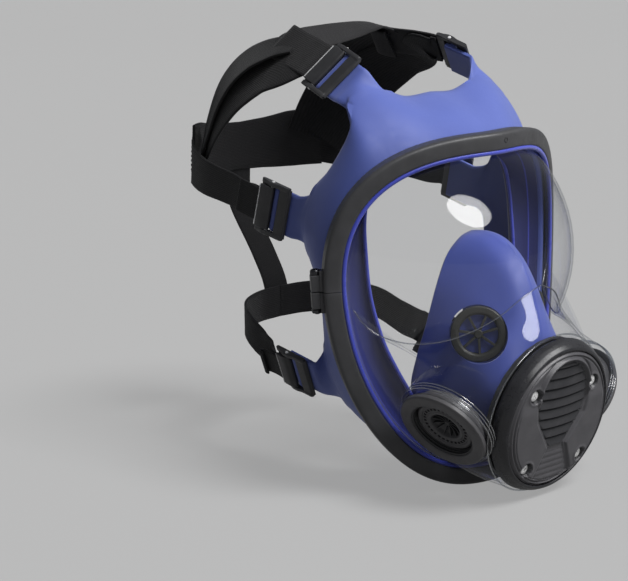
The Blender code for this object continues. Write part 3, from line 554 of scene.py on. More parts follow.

# name, dark, pale, roughness, grain scale, grain depth in m, grain strength, painted edge
# highlight
for entry in (
        ("rim_satin_black", (0.034, 0.034, 0.036), (0.048, 0.048, 0.051),
         0.40, 3000, 0.00004, 0.3, 0.35),
        ("cover_satin_black", (0.056, 0.055, 0.060), (0.078, 0.076, 0.082),
         0.34, 3400, 0.00005, 0.4, 0.25),
        ("housing_black", (0.014, 0.014, 0.016), (0.024, 0.024, 0.027),
         0.30, 3200, 0.00003, 0.25, 0.2),
        ("port_black", (0.056, 0.055, 0.058), (0.076, 0.074, 0.078),
         0.38, 3200, 0.00004, 0.35, 0.3),
        # a near-black for plain black parts, also used inside the ports as painted shade in the
        # recess
        ("inner_black", (0.016, 0.016, 0.018), (0.028, 0.028, 0.030),
         0.42, 2800, 0.00004, 0.3, 0.15),
        ("seat_olive_black", (0.020, 0.020, 0.017), (0.036, 0.036, 0.031),
         0.38, 2800, 0.00004, 0.3, 0.15),
        ("buckle_black", (0.020, 0.020, 0.022), (0.034, 0.034, 0.036),
         0.34, 2600, 0.00004, 0.3, 0.5),
        ("black_rubber_fine", (0.014, 0.014, 0.015), (0.024, 0.024, 0.026),
         0.62, 1800, 0.00006, 0.4, 0.0),
        ("grey_film_fine", (0.26, 0.26, 0.27), (0.33, 0.33, 0.34),
         0.32, 1200, 0.00004, 0.2, 0.0),
        ("clear_valve_fine", (0.46, 0.50, 0.55), (0.60, 0.63, 0.66),
         0.36, 1500, 0.00004, 0.2, 0.0),
        # a darker copy of the cover's black: painted shade for the rib grooves and the screw pits
        ("cover_rib_black", (0.020, 0.020, 0.023), (0.034, 0.034, 0.037),
         0.34, 3400, 0.00005, 0.4, 0.3)):
    plastic(*entry)

clear("clear_lens", tint=(0.990, 0.992, 0.995), edge=(0.84, 0.855, 0.87), rough=0.02,
      reflection=0.045)
clear("clear_edge", tint=(0.80, 0.82, 0.84), edge=(0.60, 0.63, 0.66), rough=0.12,
      reflection=0.30)
steel("screw_steel_fine", colour=(0.96, 0.96, 0.955), rough=0.30, metal=0.35)
steel("screw_black_oxide", colour=(0.075, 0.075, 0.08), rough=0.3, metal=1.0)
# a pale near-white strip for the cam's free edge: painted highlight
steel("buckle_polished_edge", colour=(0.85, 0.85, 0.86), rough=0.25, metal=0.4)
webbing("black_webbing_fine", dark=(0.004, 0.004, 0.0045), pale=(0.015, 0.0145, 0.016))
# a paler copy of the black webbing for straps that face the light: painted light
webbing("grey_webbing_fine", dark=(0.009, 0.0088, 0.0095), pale=(0.030, 0.029, 0.031))
webbing("stitch_thread", dark=(0.03, 0.03, 0.032), pale=(0.09, 0.09, 0.09), rib=0.0004,
        pick=0.0006)

# ================================================================ rim outline
# A squared oval with a taper, swept back at the sides. s runs once round it from the top
# middle, by the wearer's right side first.
HALF_W, HALF_H = 100.2, 105.9
POWER_X, POWER_Z, TAPER = 0.671, 0.935, 0.152
FRONT_Y, SWEEP, SWEEP_POWER = -60.0, 41.8, 1.686
SPLIT_Z, SPLIT_GAP = 19.0, 0.4


def outline_point(t):
    up = signed_power(math.cos(t), POWER_Z)
    x = -HALF_W * signed_power(math.sin(t), POWER_X) * (1 + TAPER * up)
    return (x, FRONT_Y + SWEEP * abs(x / HALF_W) ** SWEEP_POWER, HALF_H * up)


RIM_LINE = np.array([outline_point(math.pi * (0.5 - 0.5 * math.cos(math.pi * i / 3000)))
                     for i in range(3001)])
RIM_LINE[0, 0] = RIM_LINE[-1, 0] = 0.0
RIM_D = lengths(RIM_LINE)
HALF_LEN = RIM_D[-1]


def rim_at(d):
    """The outline's point at a distance down the wearer's right half, or beyond its ends."""
    if d < 0:
        return rim_at(-d) * MIRROR
    if d > HALF_LEN:
        return rim_at(2 * HALF_LEN - d) * MIRROR
    return np.array([np.interp(d, RIM_D, RIM_LINE[:, a]) for a in range(3)])


def rim_axes(s):
    """Point, tangent, outward and forward directions of the rim at s."""
    s = s % 1.0
    flip = s > 0.5
    d = (1 - s if flip else s) * 2 * HALF_LEN
    point = rim_at(d)
    tangent = unit(rim_at(d + 2.0) - rim_at(d - 2.0))
    slope = (SWEEP * SWEEP_POWER * abs(point[0] / HALF_W) ** (SWEEP_POWER - 1)
             * math.copysign(1, point[0]) / HALF_W)
    forward = square_to(unit((slope, -1, 0)), tangent)
    out = unit(np.cross(tangent, forward))
    if flip:
        return point * MIRROR, -tangent * MIRROR, out * MIRROR, forward * MIRROR
    return point, tangent, out, forward


AXES_FOUND = {}


def rim_point(s, out_by, forward_by):
    key = round(s % 1.0, 7)
    if key not in AXES_FOUND:
        AXES_FOUND[key] = rim_axes(s)
    point, _, out, forward = AXES_FOUND[key]
    return point + out_by * out + forward_by * forward


def rim_fraction(z):
    """s at a height on the wearer's right side."""
    return float(np.interp(z, RIM_LINE[::-1, 2], RIM_D[::-1]) / (2 * HALF_LEN))


SPLIT_S = rim_fraction(SPLIT_Z)
GAP_S = SPLIT_GAP / 2 / (2 * HALF_LEN)


def rim_split(side):
    """Point, outward, forward and upward directions where the rim is split."""
    point, tangent, out, forward = rim_axes(SPLIT_S if side > 0 else 1 - SPLIT_S)
    return point, out, forward, -tangent if side > 0 else tangent


# ================================================================ rim halves
# (outward, forward) of the outline
RIM_PROFILE = (
    (-10.5, -2.5), (-10.5, -1.0), (-10.38, -0.5), (-10.05, -0.15), (-9.5, 0.0), (-8.0, 0.08),
    (-5.2, 0.14), (-2.9, 0.06), (-1.9, -0.06), (-1.1, -0.32), (-0.5, -0.8), (-0.12, -1.5),
    (0.0, -2.5), (0.0, -9.4), (-0.15, -10.8), (-0.7, -11.7), (-1.7, -12.0), (-8.0, -12.0),
    (-8.0, -9.5), (-3.0, -9.5), (-3.0, -2.5))
RIM_STEPS = 190


def rim_half(name, start, end, up_sign):
    """A band with a clamp lug and a pad at each end; up_sign is 1 above the split."""
    parts = [tube([[rim_point(start + (end - start) * i / RIM_STEPS, *p) for p in RIM_PROFILE]
                   for i in range(RIM_STEPS + 1)])]
    for side in (1, -1):
        point, out, forward, up = rim_split(side)
        axes = np.column_stack((out, forward, up))
        lug_x = (-2.0, 6.6)
        if np.linalg.det(axes) < 0:
            axes = np.column_stack((-out, forward, up))
            lug_x = (-6.6, 2.0)
        lug = block(lug_x, (-11.2, -4.2), sorted((up_sign * 0.2, up_sign * 10.0)), bevel=0.9)
        pad = block((-1.6, 1.6), (-10.4, -3.4), sorted((up_sign * 0.2, up_sign * 12.6)),
                    bevel=0.8)
        parts += [moved(lug, point, axes), moved(pad, point + 0.2 * out, axes)]
    ob = piece(name, joined(parts), "rim_satin_black", "black_satin", name, angle=35)
    ob.name = name + "_band"


rim_half("rim_upper", -(SPLIT_S - GAP_S), SPLIT_S - GAP_S, 1)
rim_half("rim_lower", SPLIT_S + GAP_S, 1 - SPLIT_S - GAP_S, -1)

# clamp screws and nuts
for tag, side in SIDES:
    point, out, forward, up = rim_split(side)
    place = dict(at=point + 3.6 * out - 7.7 * forward, axes=frame_of(up, out))
    screw = lathe(((0, 12.2), (1.35, 12.2), (1.35, 13.2), (1.7, 13.35), (2.4, 13.1), (2.9, 12.4),
                   (3.0, 11.4), (3.0, 10.5), (2.8, 10.25), (1.6, 10.25), (1.6, -13.0),
                   (1.3, -13.3), (0, -13.3)), 32)
    slot = block((-2.2, 2.2), (-0.35, 0.35), (12.6, 14.0))
    screw = combine(screw, [slot, turned(slot, TURN / 4)], "DIFFERENCE")
    piece("rim_screw_fine_" + tag, screw, "screw_black_oxide", "screw_steel",
          "rim_screw_" + tag, angle=30, **place)
    nut = lathe(((2.0, -10.3), (3.1, -10.3), (3.5, -10.7), (3.5, -12.2), (3.1, -12.6),
                 (2.0, -12.6)), 6)
    piece("rim_nut_fine_" + tag, nut, "screw_black_oxide", "screw_steel", "rim_nut_" + tag,
          angle=20, **place)

# a small dimple near the top middle
point, tangent, out, forward = rim_axes(0.992)
dimple = lathe(((0, -0.35), (0.7, -0.3), (1.0, 0.2), (1.35, 0.32), (1.7, 0.22), (1.9, -0.4),
                (0, -0.6)), 24)
piece("rim_dimple", dimple, "inner_black", "black_satin", at=point - 5.0 * out + 0.12 * forward,
      axes=np.column_stack((tangent, np.cross(forward, tangent), forward)))

# ================================================================ front frame
# The round front parts share a tilted frame: u across, v up, h out of its face.
TILT = math.radians(10.6)
FRONT_CENTRE = np.array((0.0, -108.1, -58.4))
FRONT_SIDE = np.array((1.0, 0.0, 0.0))
FRONT_UP = np.array((0.0, -math.sin(TILT), math.cos(TILT)))
FRONT_OUT = np.array((0.0, -math.cos(TILT), -math.sin(TILT)))
FRONT = dict(at=FRONT_CENTRE, axes=np.column_stack((FRONT_SIDE, FRONT_UP, FRONT_OUT)))


def front(u, v, h):
    return FRONT_CENTRE + u * FRONT_SIDE + v * FRONT_UP + h * FRONT_OUT


def front_round(angle, radius, h):
    """A point on a circle of the front frame; the angle runs from the top towards -X."""
    return front(-math.sin(angle) * radius, math.cos(angle) * radius, h)


# ================================================================ visor
DOME_CENTRE, DOME_RADII = np.array((0.0, 20.0, 30.0)), np.array((95.0, 113.0, 94.0))
LAND_H, LAND_R, BORE_R = -11.2, 49.0, 43.2  # the flat round the front bore
EDGE_OUT = -13.4  # where the lens leaves the rim
CREASE_OUT, CREASE_FORWARD = EDGE_OUT - 1.2, -2.4
# (x, z) of the crease under the dome, on one side
CREASE = ((0, 20), (14, 14), (26, 4.5), (38, -3.5), (49, -9.5), (60, -12), (70, -10), (79, -3.5))
SKIN_T, SKIN_MIN = 1.5, 0.35
VISOR_COLUMNS = 216
DOME_STATIONS = (0.04, 0.09, 0.15, 0.22, 0.30, 0.38, 0.46, 0.54, 0.62, 0.70, 0.77, 0.84, 0.90,
                 0.95, 0.985, 1.0)
MUZZLE_STATIONS = (0.015, 0.05, 0.10, 0.17, 0.25, 0.34, 0.43, 0.52, 0.61, 0.70, 0.79, 0.87,
                   0.94, 1.0)
CREASE_ROW = 2 + len(DOME_STATIONS)


def dome_y(x, z):
    q = (1 - ((x - DOME_CENTRE[0]) / DOME_RADII[0]) ** 2
         - ((z - DOME_CENTRE[2]) / DOME_RADII[2]) ** 2)
    return DOME_CENTRE[1] - DOME_RADII[1] * math.sqrt(max(q, 0.02))


CREASE_S = rim_fraction(9.0)
CREASE_LINE = smooth_curve([(-x, dome_y(x, z), z) for x, z in CREASE]
                           + [rim_point(CREASE_S, CREASE_OUT, CREASE_FORWARD)], 24)


def base_point(s):
    """Where the dome ends: on the crease, and beyond it along the rim."""
    if s <= CREASE_S:
        return along(CREASE_LINE, [s / CREASE_S])[0]
    return rim_point(s, CREASE_OUT, CREASE_FORWARD)


BASE_S = np.linspace(0, 0.5, 600)
BASE_D = lengths([base_point(s) for s in BASE_S])


def land_angle(s):
    return math.pi * (np.interp(s, BASE_S, BASE_D) / BASE_D[-1]) ** 1.09


def visor_column(s):
    """The outer skin from the rim over the dome and the muzzle to the bore."""
    column = [rim_point(s, -3.4, -2.9), rim_point(s, EDGE_OUT + 1.6, -2.9),
              rim_point(s, EDGE_OUT, -2.75)]
    base = base_point(s)
    ray_a, ray_b = (column[-1] - DOME_CENTRE) / DOME_RADII, (base - DOME_CENTRE) / DOME_RADII
    reach_a, reach_b = np.linalg.norm(ray_a), np.linalg.norm(ray_b)
    ray_a, ray_b = ray_a / reach_a, ray_b / reach_b
    angle = math.acos(clamp(float(np.dot(ray_a, ray_b)), -1, 1))
    for t in DOME_STATIONS:
        if angle < 1e-3:
            ray = ray_a * (1 - t) + ray_b * t
        else:
            ray = (math.sin((1 - t) * angle) * ray_a
                   + math.sin(t * angle) * ray_b) / math.sin(angle)
        reach = reach_a + (reach_b - reach_a) * (1 - (1 - t) ** 2)
        column.append(DOME_CENTRE + DOME_RADII * ray * reach)
    phi = land_angle(s)
    land = front_round(phi, LAND_R, LAND_H)
    swell = 2.5 + 4.5 * math.sin(phi) ** 2
    control = (base + land) / 2 + unit((-math.sin(phi), -0.35, math.cos(phi))) * swell
    column += [quadratic(base, control, land, t) for t in MUZZLE_STATIONS]
    column.append(front_round(phi, BORE_R - 1.5, LAND_H))
    return column


def both_halves(half):
    """Columns down the wearer's right half, carried on round the other by mirroring."""
    half = np.array(half)
    return np.concatenate([half, half[-2:0:-1] * MIRROR])


def skin_normals(grid):
    around = np.roll(grid, -1, 0) - np.roll(grid, 1, 0)
    down = np.empty_like(grid)
    down[:, 1:-1] = grid[:, 2:] - grid[:, :-2]
    down[:, 0] = grid[:, 1] - grid[:, 0]
    down[:, -1] = grid[:, -1] - grid[:, -2]
    n = np.cross(around, down)
    return n / np.maximum(np.linalg.norm(n, axis=2, keepdims=True), 1e-9)


VISOR_S = np.array([min(i, VISOR_COLUMNS - i) / VISOR_COLUMNS for i in range(VISOR_COLUMNS)])
visor_grid = both_halves([visor_column(i / VISOR_COLUMNS)
                          for i in range(VISOR_COLUMNS // 2 + 1)])
visor_normals = skin_normals(visor_grid)
if visor_normals[0, visor_grid.shape[1] // 2, 1] > 0:
    visor_normals = -visor_normals
# a low ridge along the crease, as a mould line leaves
near = VISOR_S < CREASE_S * 0.97
visor_grid[near, CREASE_ROW] += visor_normals[near, CREASE_ROW] * 0.55
for i in range(VISOR_COLUMNS):
    visor_normals[i, :3] = rim_axes(i / VISOR_COLUMNS)[3]
visor_normals[:, -2:] = FRONT_OUT


def visor_shell():
    soft = visor_normals.copy()
    for _ in range(8):
        a = 0.25 * np.roll(soft, 1, 0) + 0.5 * soft + 0.25 * np.roll(soft, -1, 0)
        soft[:, 3:-3] = 0.25 * a[:, 2:-4] + 0.5 * a[:, 3:-3] + 0.25 * a[:, 4:-2]
    soft = unit(soft)
    # thinner where the dome runs out between the rim and the crease
    dome = visor_grid[:, 2:CREASE_ROW + 1]
    arc = np.linalg.norm(np.diff(dome, axis=1), axis=2).sum(axis=1)
    thin = np.clip(0.10 * arc, SKIN_MIN, SKIN_T)
    skin = np.full(visor_grid.shape[:2] + (1,), SKIN_T)
    skin[:, 3:CREASE_ROW + 4, 0] = thin[:, None]
    skin[:, CREASE_ROW + 4:CREASE_ROW + 8, 0] = np.linspace(thin, SKIN_T, 5, axis=1)[:, 1:]
    inner = visor_grid - soft * skin
    angles = [land_angle(s) * (1 if i <= VISOR_COLUMNS // 2 else -1)
              for i, s in enumerate(VISOR_S)]

    def ring(radius, h):
        return np.array([front_round(angle, radius, h) for angle in angles])

    inner[:, -1] = ring(BORE_R + 3.2, LAND_H - 2.3)
    inner[:, -2] = 0.5 * (ring(BORE_R + 3.4, LAND_H - 2.6) + inner[:, -3])
    bore = [ring(BORE_R + 0.5, LAND_H), ring(BORE_R, LAND_H - 0.5), ring(BORE_R, LAND_H - 2.3)]
    outer = np.concatenate([visor_grid[:, :-1]] + [r[:, None] for r in bore], 1)
    return double_skin(outer, inner)


# ---------------------------------------------------------------- port collars of the visor
PORT_CENTRE, PORT_NORMAL = np.array((-63.0, -72.8, -60.2)), unit((-0.830, -0.091, -0.552))
PORT_AXES = frame_of(PORT_NORMAL)
COLLAR_R, COLLAR_TOP, COLLAR_STEPS = 30.0, -4.3, 72
# (inset from the collar's radius, drop from its top)
COLLAR_PROFILE = (
    (1.2, 0.0), (0.5, 0.15), (0.1, 0.6), (0.0, 1.3), (0.0, 2.2), (0.55, 2.5), (0.55, 3.0),
    (0.0, 3.3), (0.0, 4.4), (0.5, 4.7), (0.5, 5.2), (0.0, 5.5))
# a plane just inside the visor's wall, where a collar ends
WALL_NORMAL = unit((-0.88, -0.44, -0.18))
WALL_POINT = np.array((-56.0, -71.0, -54.0)) - WALL_NORMAL * 3.5


def port_place(side):
    return dict(at=mirrored(PORT_CENTRE, side), axes=frame_of(mirrored(PORT_NORMAL, side)))


def collar_ray(angle):
    """A direction across the port, and the collar's depth down to the wall plane there."""
    ray = math.cos(angle) * PORT_AXES[:, 0] + math.sin(angle) * PORT_AXES[:, 1]
    base = PORT_CENTRE + COLLAR_R * ray + COLLAR_TOP * PORT_NORMAL
    return ray, np.dot(base - WALL_POINT, WALL_NORMAL) / np.dot(PORT_NORMAL, WALL_NORMAL)


def port_collar(side):
    columns = []
    for i in range(COLLAR_STEPS):
        ray, depth = collar_ray(TURN * i / COLLAR_STEPS)
        depth = max(depth, 2.0)
        column = []
        for inset, drop in COLLAR_PROFILE:
            down = min(drop, depth * 0.9 * drop / 5.5 if depth < 6 else drop)
            column.append(PORT_CENTRE + (COLLAR_R - inset) * ray
                          + (COLLAR_TOP - down) * PORT_NORMAL)
        column.append(PORT_CENTRE + COLLAR_R * ray + (COLLAR_TOP - depth) * PORT_NORMAL)
        columns.append(column)
    return tube(mirrored(columns, side).transpose(1, 0, 2))


visor = combine(visor_shell(), [port_collar(1), port_collar(-1)], "UNION")
port_bore = lathe(((0, -34), (24.8, -34), (24.8, -4.3), (28.6, -4.3), (28.6, 9), (0, 9)), 72)
visor = combine(visor, [moved(port_bore, **port_place(side)) for side in (1, -1)], "DIFFERENCE")
piece("visor_lens", visor, "clear_lens", "clear_polycarbonate", "visor", angle=24)

# bright lines along the crease and round the front land
columns = [i for i in range(VISOR_COLUMNS) if VISOR_S[i] < CREASE_S * 0.985]
columns.sort(key=lambda i: i <= VISOR_COLUMNS // 2)
normals = visor_normals[columns, CREASE_ROW]
crease_cord = cord(visor_grid[columns, CREASE_ROW] + normals * 0.05, normals, 0.42, sides=8,
                   closed=False)
piece("visor_crease_line", crease_cord, "clear_edge", "clear_polycarbonate", angle=0)
section = circle(np.array((LAND_R + 0.25, LAND_H + 0.05)), np.array((1, 0)), np.array((0, 1)),
                 0.5, 10)
piece("visor_land_edge", lathe(section, 144), "clear_edge", "clear_polycarbonate", angle=0,
      **FRONT)


def collar_threads():
    """Raised lines round a collar, at three depths, wherever its wall is deep enough."""
    steps = 144
    arcs = []
    for drop in (1.4, 3.6, 5.6):
        ring = []
        for i in range(steps):
            ray, depth = collar_ray(TURN * (i / steps + 0.5))
            centre = PORT_CENTRE + 30.1 * ray - (4.3 + drop) * PORT_NORMAL
            ring.append((depth > drop + 1.2, centre, ray))
        start = next((i for i in range(steps) if not ring[i][0]), 0)
        chain = []
        for deep_enough, centre, ray in ring[start:] + ring[:start] + [(False, None, None)]:
            if deep_enough:
                chain.append((centre, ray))
                continue
            if len(chain) > 8:
                radii = 0.48 * np.sin(np.pi * np.linspace(0.03, 0.97, len(chain))) ** 0.4
                arcs.append(tube([circle(c, r, PORT_NORMAL, radius, 8)
                                  for (c, r), radius in zip(chain, radii)]))
            chain = []
    return joined(arcs)


for tag, side in SIDES:
    mesh = collar_threads()
    if side < 0:
        mesh.transform(Matrix.Scale(-1, 4, Vector((1, 0, 0))))
        mesh.flip_normals()
    piece("visor_collar_thread_" + tag, mesh, "clear_edge", "clear_polycarbonate", angle=0)

# ================================================================ front cover
COVER_R = 42.0
COVER_BACK = -3.5
SCREWS = ((25.65, 19.6), (-25.65, 19.6), (23.95, -26.85), (-23.95, -26.85))  # (u, v)
# the middle field: an arch above, sides at +-u below, and a panel under PANEL_V
SIDE_V = (-42.0, -28.5, -15.9, 1.7, 12.0, 16.2)
SIDE_U = (18.6, 12.8, 6.9, 19.2, 21.6, 20.8)
ARCH_V, ARCH_R = 16.2, 20.8
PANEL_V = -15.9
OUTSIDE = -5.0


def soft_step(x, width):
    """0 below, 1 above, over a width."""
    t = np.clip(x / width + 0.5, 0, 1)
    return t * t * (3 - 2 * t)


def bell(x, width):
    return np.exp(-(x / width) ** 2)


def rib_field(u, v):
    """Distance into the rib zone, past its arch or its tapering sides."""
    sides = (np.interp(v, SIDE_V, SIDE_U) - np.abs(u)) * 0.85
    return np.where(v > ARCH_V, ARCH_R - np.hypot(u, v - ARCH_V),
                    np.where(v > PANEL_V, sides, OUTSIDE))


def cover_height(u, v):
    """Height of the cover's face over its flat datum."""
    u, v = np.asarray(u, float), np.asarray(v, float)
    r = np.hypot(u, v)
    side = np.interp(v, SIDE_V, SIDE_U)
    arch = np.hypot(u, v - ARCH_V)
    bottom = np.where(v > PANEL_V, v - PANEL_V, OUTSIDE)
    inside = np.minimum(rib_field(u, v), np.where(v > ARCH_V, 99.0, bottom + 0.6))
    h = 0.9 * (1 - (r / 43.0) ** 2) - 0.9 * soft_step(inside, 0.8)
    # louvre ribs: each rises towards its lower edge, then drops into a groove
    k = (32.9 - (v - 0.0035 * u * u)) / 6.15
    f = k - np.floor(k)
    rib = 1.5 * f ** 1.4 - 1.5 * bell(f, 0.10) - 2.2 * bell(f - 1.0, 0.07) - 0.3
    h = h + rib * soft_step(inside - 0.9, 1.2) * np.where(k > -0.35, 1.0, 0.0)
    # raised lip that arches over the rib zone, and a groove outside it
    h = h + 1.7 * bell(arch - ARCH_R - 1.3, 0.95) * soft_step(v - 13.0, 8.0)
    h = h - (0.8 * bell(arch - ARCH_R - 3.4, 0.55) * soft_step(v - 22.0, 6.0)
             * soft_step(39.2 - r, 1.2))
    # lower panel between the lobes, a little lower, with faint ribs
    low = np.where(v < PANEL_V, side - np.abs(u), OUTSIDE)
    h = h - 1.15 * soft_step(low, 0.7) * soft_step(-15.2 - v, 1.2)
    k = (v + 42) / 3.7
    h = h + (0.4 * np.sin((k - np.floor(k)) * math.pi) * soft_step(low - 1.0, 1.4)
             * soft_step(-19.0 - v, 1.2))
    # crisp line round each lobe, next to the zone and the panel
    lobe_edge = np.where(v > PANEL_V, -(side - np.abs(u)) * 0.85, -low)
    h = h - 0.8 * bell(lobe_edge - 0.9, 0.55) * soft_step(10.0 - v, 6.0)
    # lobes swell gently
    h = h + (1.1 * soft_step(np.abs(u) - side - 1.2, 3.0) * soft_step(13.0 - v, 9.0)
             * soft_step(39.0 - r, 3.0))
    # grooves and rounded shoulder at the edge
    h = h - 0.9 * bell(r - 39.6, 0.45)
    h = h - 0.5 * bell(r - 38.1, 0.35) * soft_step(-v + 8.0, 8.0)
    h = h - 1.5 * soft_step(r - 41.2, 1.6)
    # screw recesses
    for a, b in SCREWS:
        q = np.hypot(u - a, v - b)
        pit = soft_step(4.2 - q, 0.5)
        h = (h + 0.45 * bell(q - 5.0, 0.8)) * (1 - pit) - 1.75 * pit
    return h


def cover_mesh():
    radii = np.r_[np.linspace(0.0, 37.0, 106)[1:], np.linspace(37.25, COVER_R, 22)]
    count = 300
    angles = TURN * np.arange(count) / count
    verts = [(0.0, 0.0, float(cover_height(0.0, 0.0)))]
    for r in radii:
        u, v = r * np.sin(angles), r * np.cos(angles)
        verts += list(zip(u, v, cover_height(u, v)))
    back = ((COVER_R, -1.6), (COVER_R, -3.0), (COVER_R - 0.6, COVER_BACK), (30.0, COVER_BACK))
    for r, h in back:
        verts += [(r * math.sin(a), r * math.cos(a), h) for a in angles]
    verts.append((0.0, 0.0, COVER_BACK))
    rings = len(radii) + len(back)
    faces = [(0, 1 + (j + 1) % count, 1 + j) for j in range(count)]
    for i in range(rings - 1):
        a, b = 1 + i * count, 1 + (i + 1) * count
        faces += [(a + j, a + (j + 1) % count, b + (j + 1) % count, b + j)
                  for j in range(count)]
    a, last = 1 + (rings - 1) * count, len(verts) - 1
    faces += [(a + j, a + (j + 1) % count, last) for j in range(count)]
    mesh = bpy.data.meshes.new("m")
    mesh.from_pydata(verts, [], faces)
    return outward(mesh)


cover = cover_mesh()
u, v, h = np.array([p.center for p in cover.polygons]).T
pits = np.min([np.hypot(u - a, v - b) for a, b in SCREWS], axis=0) < 4.3
# the rib zone and the screw pits take the darker material: painted shade
dark = ((rib_field(u, v) > 0.4) | pits) & (h > -3.0)
ob = piece("front_cover_fine", cover, "cover_satin_black", "black_satin", "front_cover",
           angle=0, **FRONT)
ob.data.materials.append(MATERIALS["cover_rib_black"])
ob.data.polygons.foreach_set("material_index", dark.astype(np.int32))

# ================================================================ front housing
# the deep side wall and shoulder that the cover sits in, with a deck behind
HOUSE = ((42.3, -3.9), (42.3, -1.1), (43.2, -0.55), (44.4, -1.2), (46.0, -3.6), (47.0, -6.0),
         (47.6, -9.2), (47.3, -10.2), (42.7, -10.2), (42.7, -17.6), (39.5, -17.6), (39.5, -3.9))
DECK = ((0, -13), (41, -13), (41, -15), (0, -15))
BOSSES = ((15.0, 17.9, 19.3, 14.0), (-20.0, 14.4, 15.8, 11.0))  # v, inner r, outer r, hole r
house = lathe(rounded(HOUSE, 0.5), 144)
house = combine(house, [lathe(rounded(DECK, 0.2, 2, closed=False), 96)], "UNION")
solids, holes = [], []
for v, inner_r, outer_r, hole_r in BOSSES:
    wall = ((inner_r, -14), (outer_r, -14), (outer_r, -9.6), (inner_r, -9.6))
    solids.append(moved(lathe(rounded(wall, 0.25, 2), 64), (0, v, 0)))
    holes.append(moved(lathe(((0, -16), (hole_r, -16), (hole_r, -9), (0, -9)), 64), (0, v, 0)))
for u, v in SCREWS:
    post = lathe(((0, -14), (3.6, -14), (3.6, -4.2), (3.3, -3.9), (0, -3.9)), 32)
    solids.append(moved(post, (u, v, 0)))
    bore = lathe(((0, -12.4), (1.7, -12.4), (1.7, -2), (0, -2)), 20)
    holes.append(moved(bore, (u, v, 0)))
house = combine(combine(house, solids, "UNION"), holes, "DIFFERENCE")
piece("front_housing_fine", house, "housing_black", "black_plastic", "front_housing", angle=30,
      **FRONT)

# cross-head screws
screw = lathe(((0, -0.35), (1.2, -0.30), (2.2, -0.42), (2.9, -0.75), (3.2, -1.2), (3.2, -1.62),
               (1.45, -1.62), (1.45, -11.8), (0, -12.2)), 40)
arm = block((-1.45, 1.45), (-0.27, 0.27), (-1.3, 0.6))
core = lathe(((0, -1.5), (0.4, -1.3), (0.6, 0.6), (0, 0.6)), 12)
screw = combine(screw, [turned(arm, 0.5), turned(arm, 0.5 + TURN / 4), core], "DIFFERENCE")
for i, (u, v) in enumerate(SCREWS):
    piece("cover_screw_fine_%d" % (i + 1), screw, "screw_steel_fine", "screw_steel",
          "cover_screw_%d" % (i + 1), at=front(u, v, 0), axes=FRONT["axes"], angle=25)

# ================================================================ side ports
PORT_BODY = ((20.2, -0.5), (20.9, 0.0), (27.0, 0.0), (28.0, -0.9), (28.0, -3.3), (24.4, -3.3),
             (24.4, -8.0), (21.4, -10.6), (21.4, -13.0), (18.6, -13.0), (18.6, -10.2),
             (17.2, -10.2), (17.2, -8.8), (20.2, -8.8))
PORT_LIP = ((20.22, -0.9), (20.22, -1.9), (19.3, -2.4), (19.3, -1.3))
GRILLE = ((0, -9.6), (3.0, -9.5), (6.4, -8.8), (8.6, -7.0), (9.4, -4.9), (9.9, -4.2),
          (11.6, -4.1), (12.2, -4.6), (15.0, -4.6), (15.5, -3.9), (17.4, -3.8), (18.2, -4.6),
          (18.2, -7.7), (19.6, -7.7), (19.6, -8.5), (17.0, -8.5), (16.2, -6.2), (11.0, -6.2),
          (9.8, -9.4), (6.0, -10.6), (0, -10.8))
HUB = ((0, -9.9), (2.1, -9.9), (2.1, -7.3), (1.5, -6.5), (0, -6.2))
# along the radius: x, low z, high z, width factor
FIN = ((1.6, -9.8, -7.2, 1.0), (4.0, -9.6, -7.0, 1.1), (6.4, -9.0, -6.3, 1.2),
       (8.9, -7.2, -5.2, 1.2))

port_body = lathe(rounded(PORT_BODY, 0.3), 120)
port_lip = lathe(rounded(PORT_LIP, 0.2, 2), 96)
# three low rings inside the bore
port_thread = joined([lathe([(20.25, z - 0.75), (19.75, z), (20.25, z + 0.75)], 96)
                      for z in (-3.6, -5.4, -7.2)])
slot = block((12.75, 14.45), (-0.82, 0.82), (-7.5, -3))
grille = combine(lathe(rounded(GRILLE, 0.4, closed=False), 112),
                 [joined(ring_of(slot, 30, TURN * 0.25 / 30))], "DIFFERENCE")
fin = tube([[(x, y * width, z) for y, z in ((-0.34, low), (0.34, low), (0.22, high),
                                            (-0.22, high))] for x, low, high, width in FIN])
fins = joined(ring_of(fin, 12) + [lathe(rounded(HUB, 0.25, 2, closed=False), 32)])
for tag, side in SIDES:
    place = port_place(side)
    piece("port_ring_" + tag, port_body, "port_black", "black_satin", "port_body_" + tag,
          angle=30, **place)
    # the lip, the low rings in the bore and the fins in the bowl take the darker black: painted
    # shade in the recess
    piece("port_lip_" + tag, port_lip, "inner_black", "black_plastic", angle=30, **place)
    piece("port_thread_" + tag, port_thread, "inner_black", "black_plastic", angle=60, **place)
    piece("port_disc_" + tag, grille, "port_black", "black_plastic", "port_grille_" + tag,
          angle=28, **place)
    piece("port_fins_" + tag, fins, "inner_black", "black_plastic", angle=30, **place)

# ================================================================ nose cup
# the free edge, and points halfway to the front ring, from top to bottom
CUP_EDGE = ((0, -38, 45), (-12, -40, 43), (-23, -40, 34), (-32, -40, 17), (-38, -37, -7),
            (-41, -32, -28), (-42, -29, -48), (-34, -32, -66), (-18, -37, -78), (0, -40, -82))
CUP_MID = ((0, -76, 33), (-10, -74, 27), (-19, -71, 14), (-27.5, -69.5, -2), (-35, -67, -20),
           (-37.5, -66, -38), (-37, -65, -55), (-31, -66, -71), (-17, -67, -82), (0, -68, -86))
CUP_HALF_COLUMNS, CUP_R, CUP_H, CUP_T = 64, 33.0, -18.0, 2.0
VALVE_CENTRE, VALVE_NORMAL = (-28.5, -70.0, -8.5), unit((-0.72, -0.68, 0.12))


def valve_place(side):
    return dict(at=mirrored(VALVE_CENTRE, side), axes=frame_of(mirrored(VALVE_NORMAL, side)))


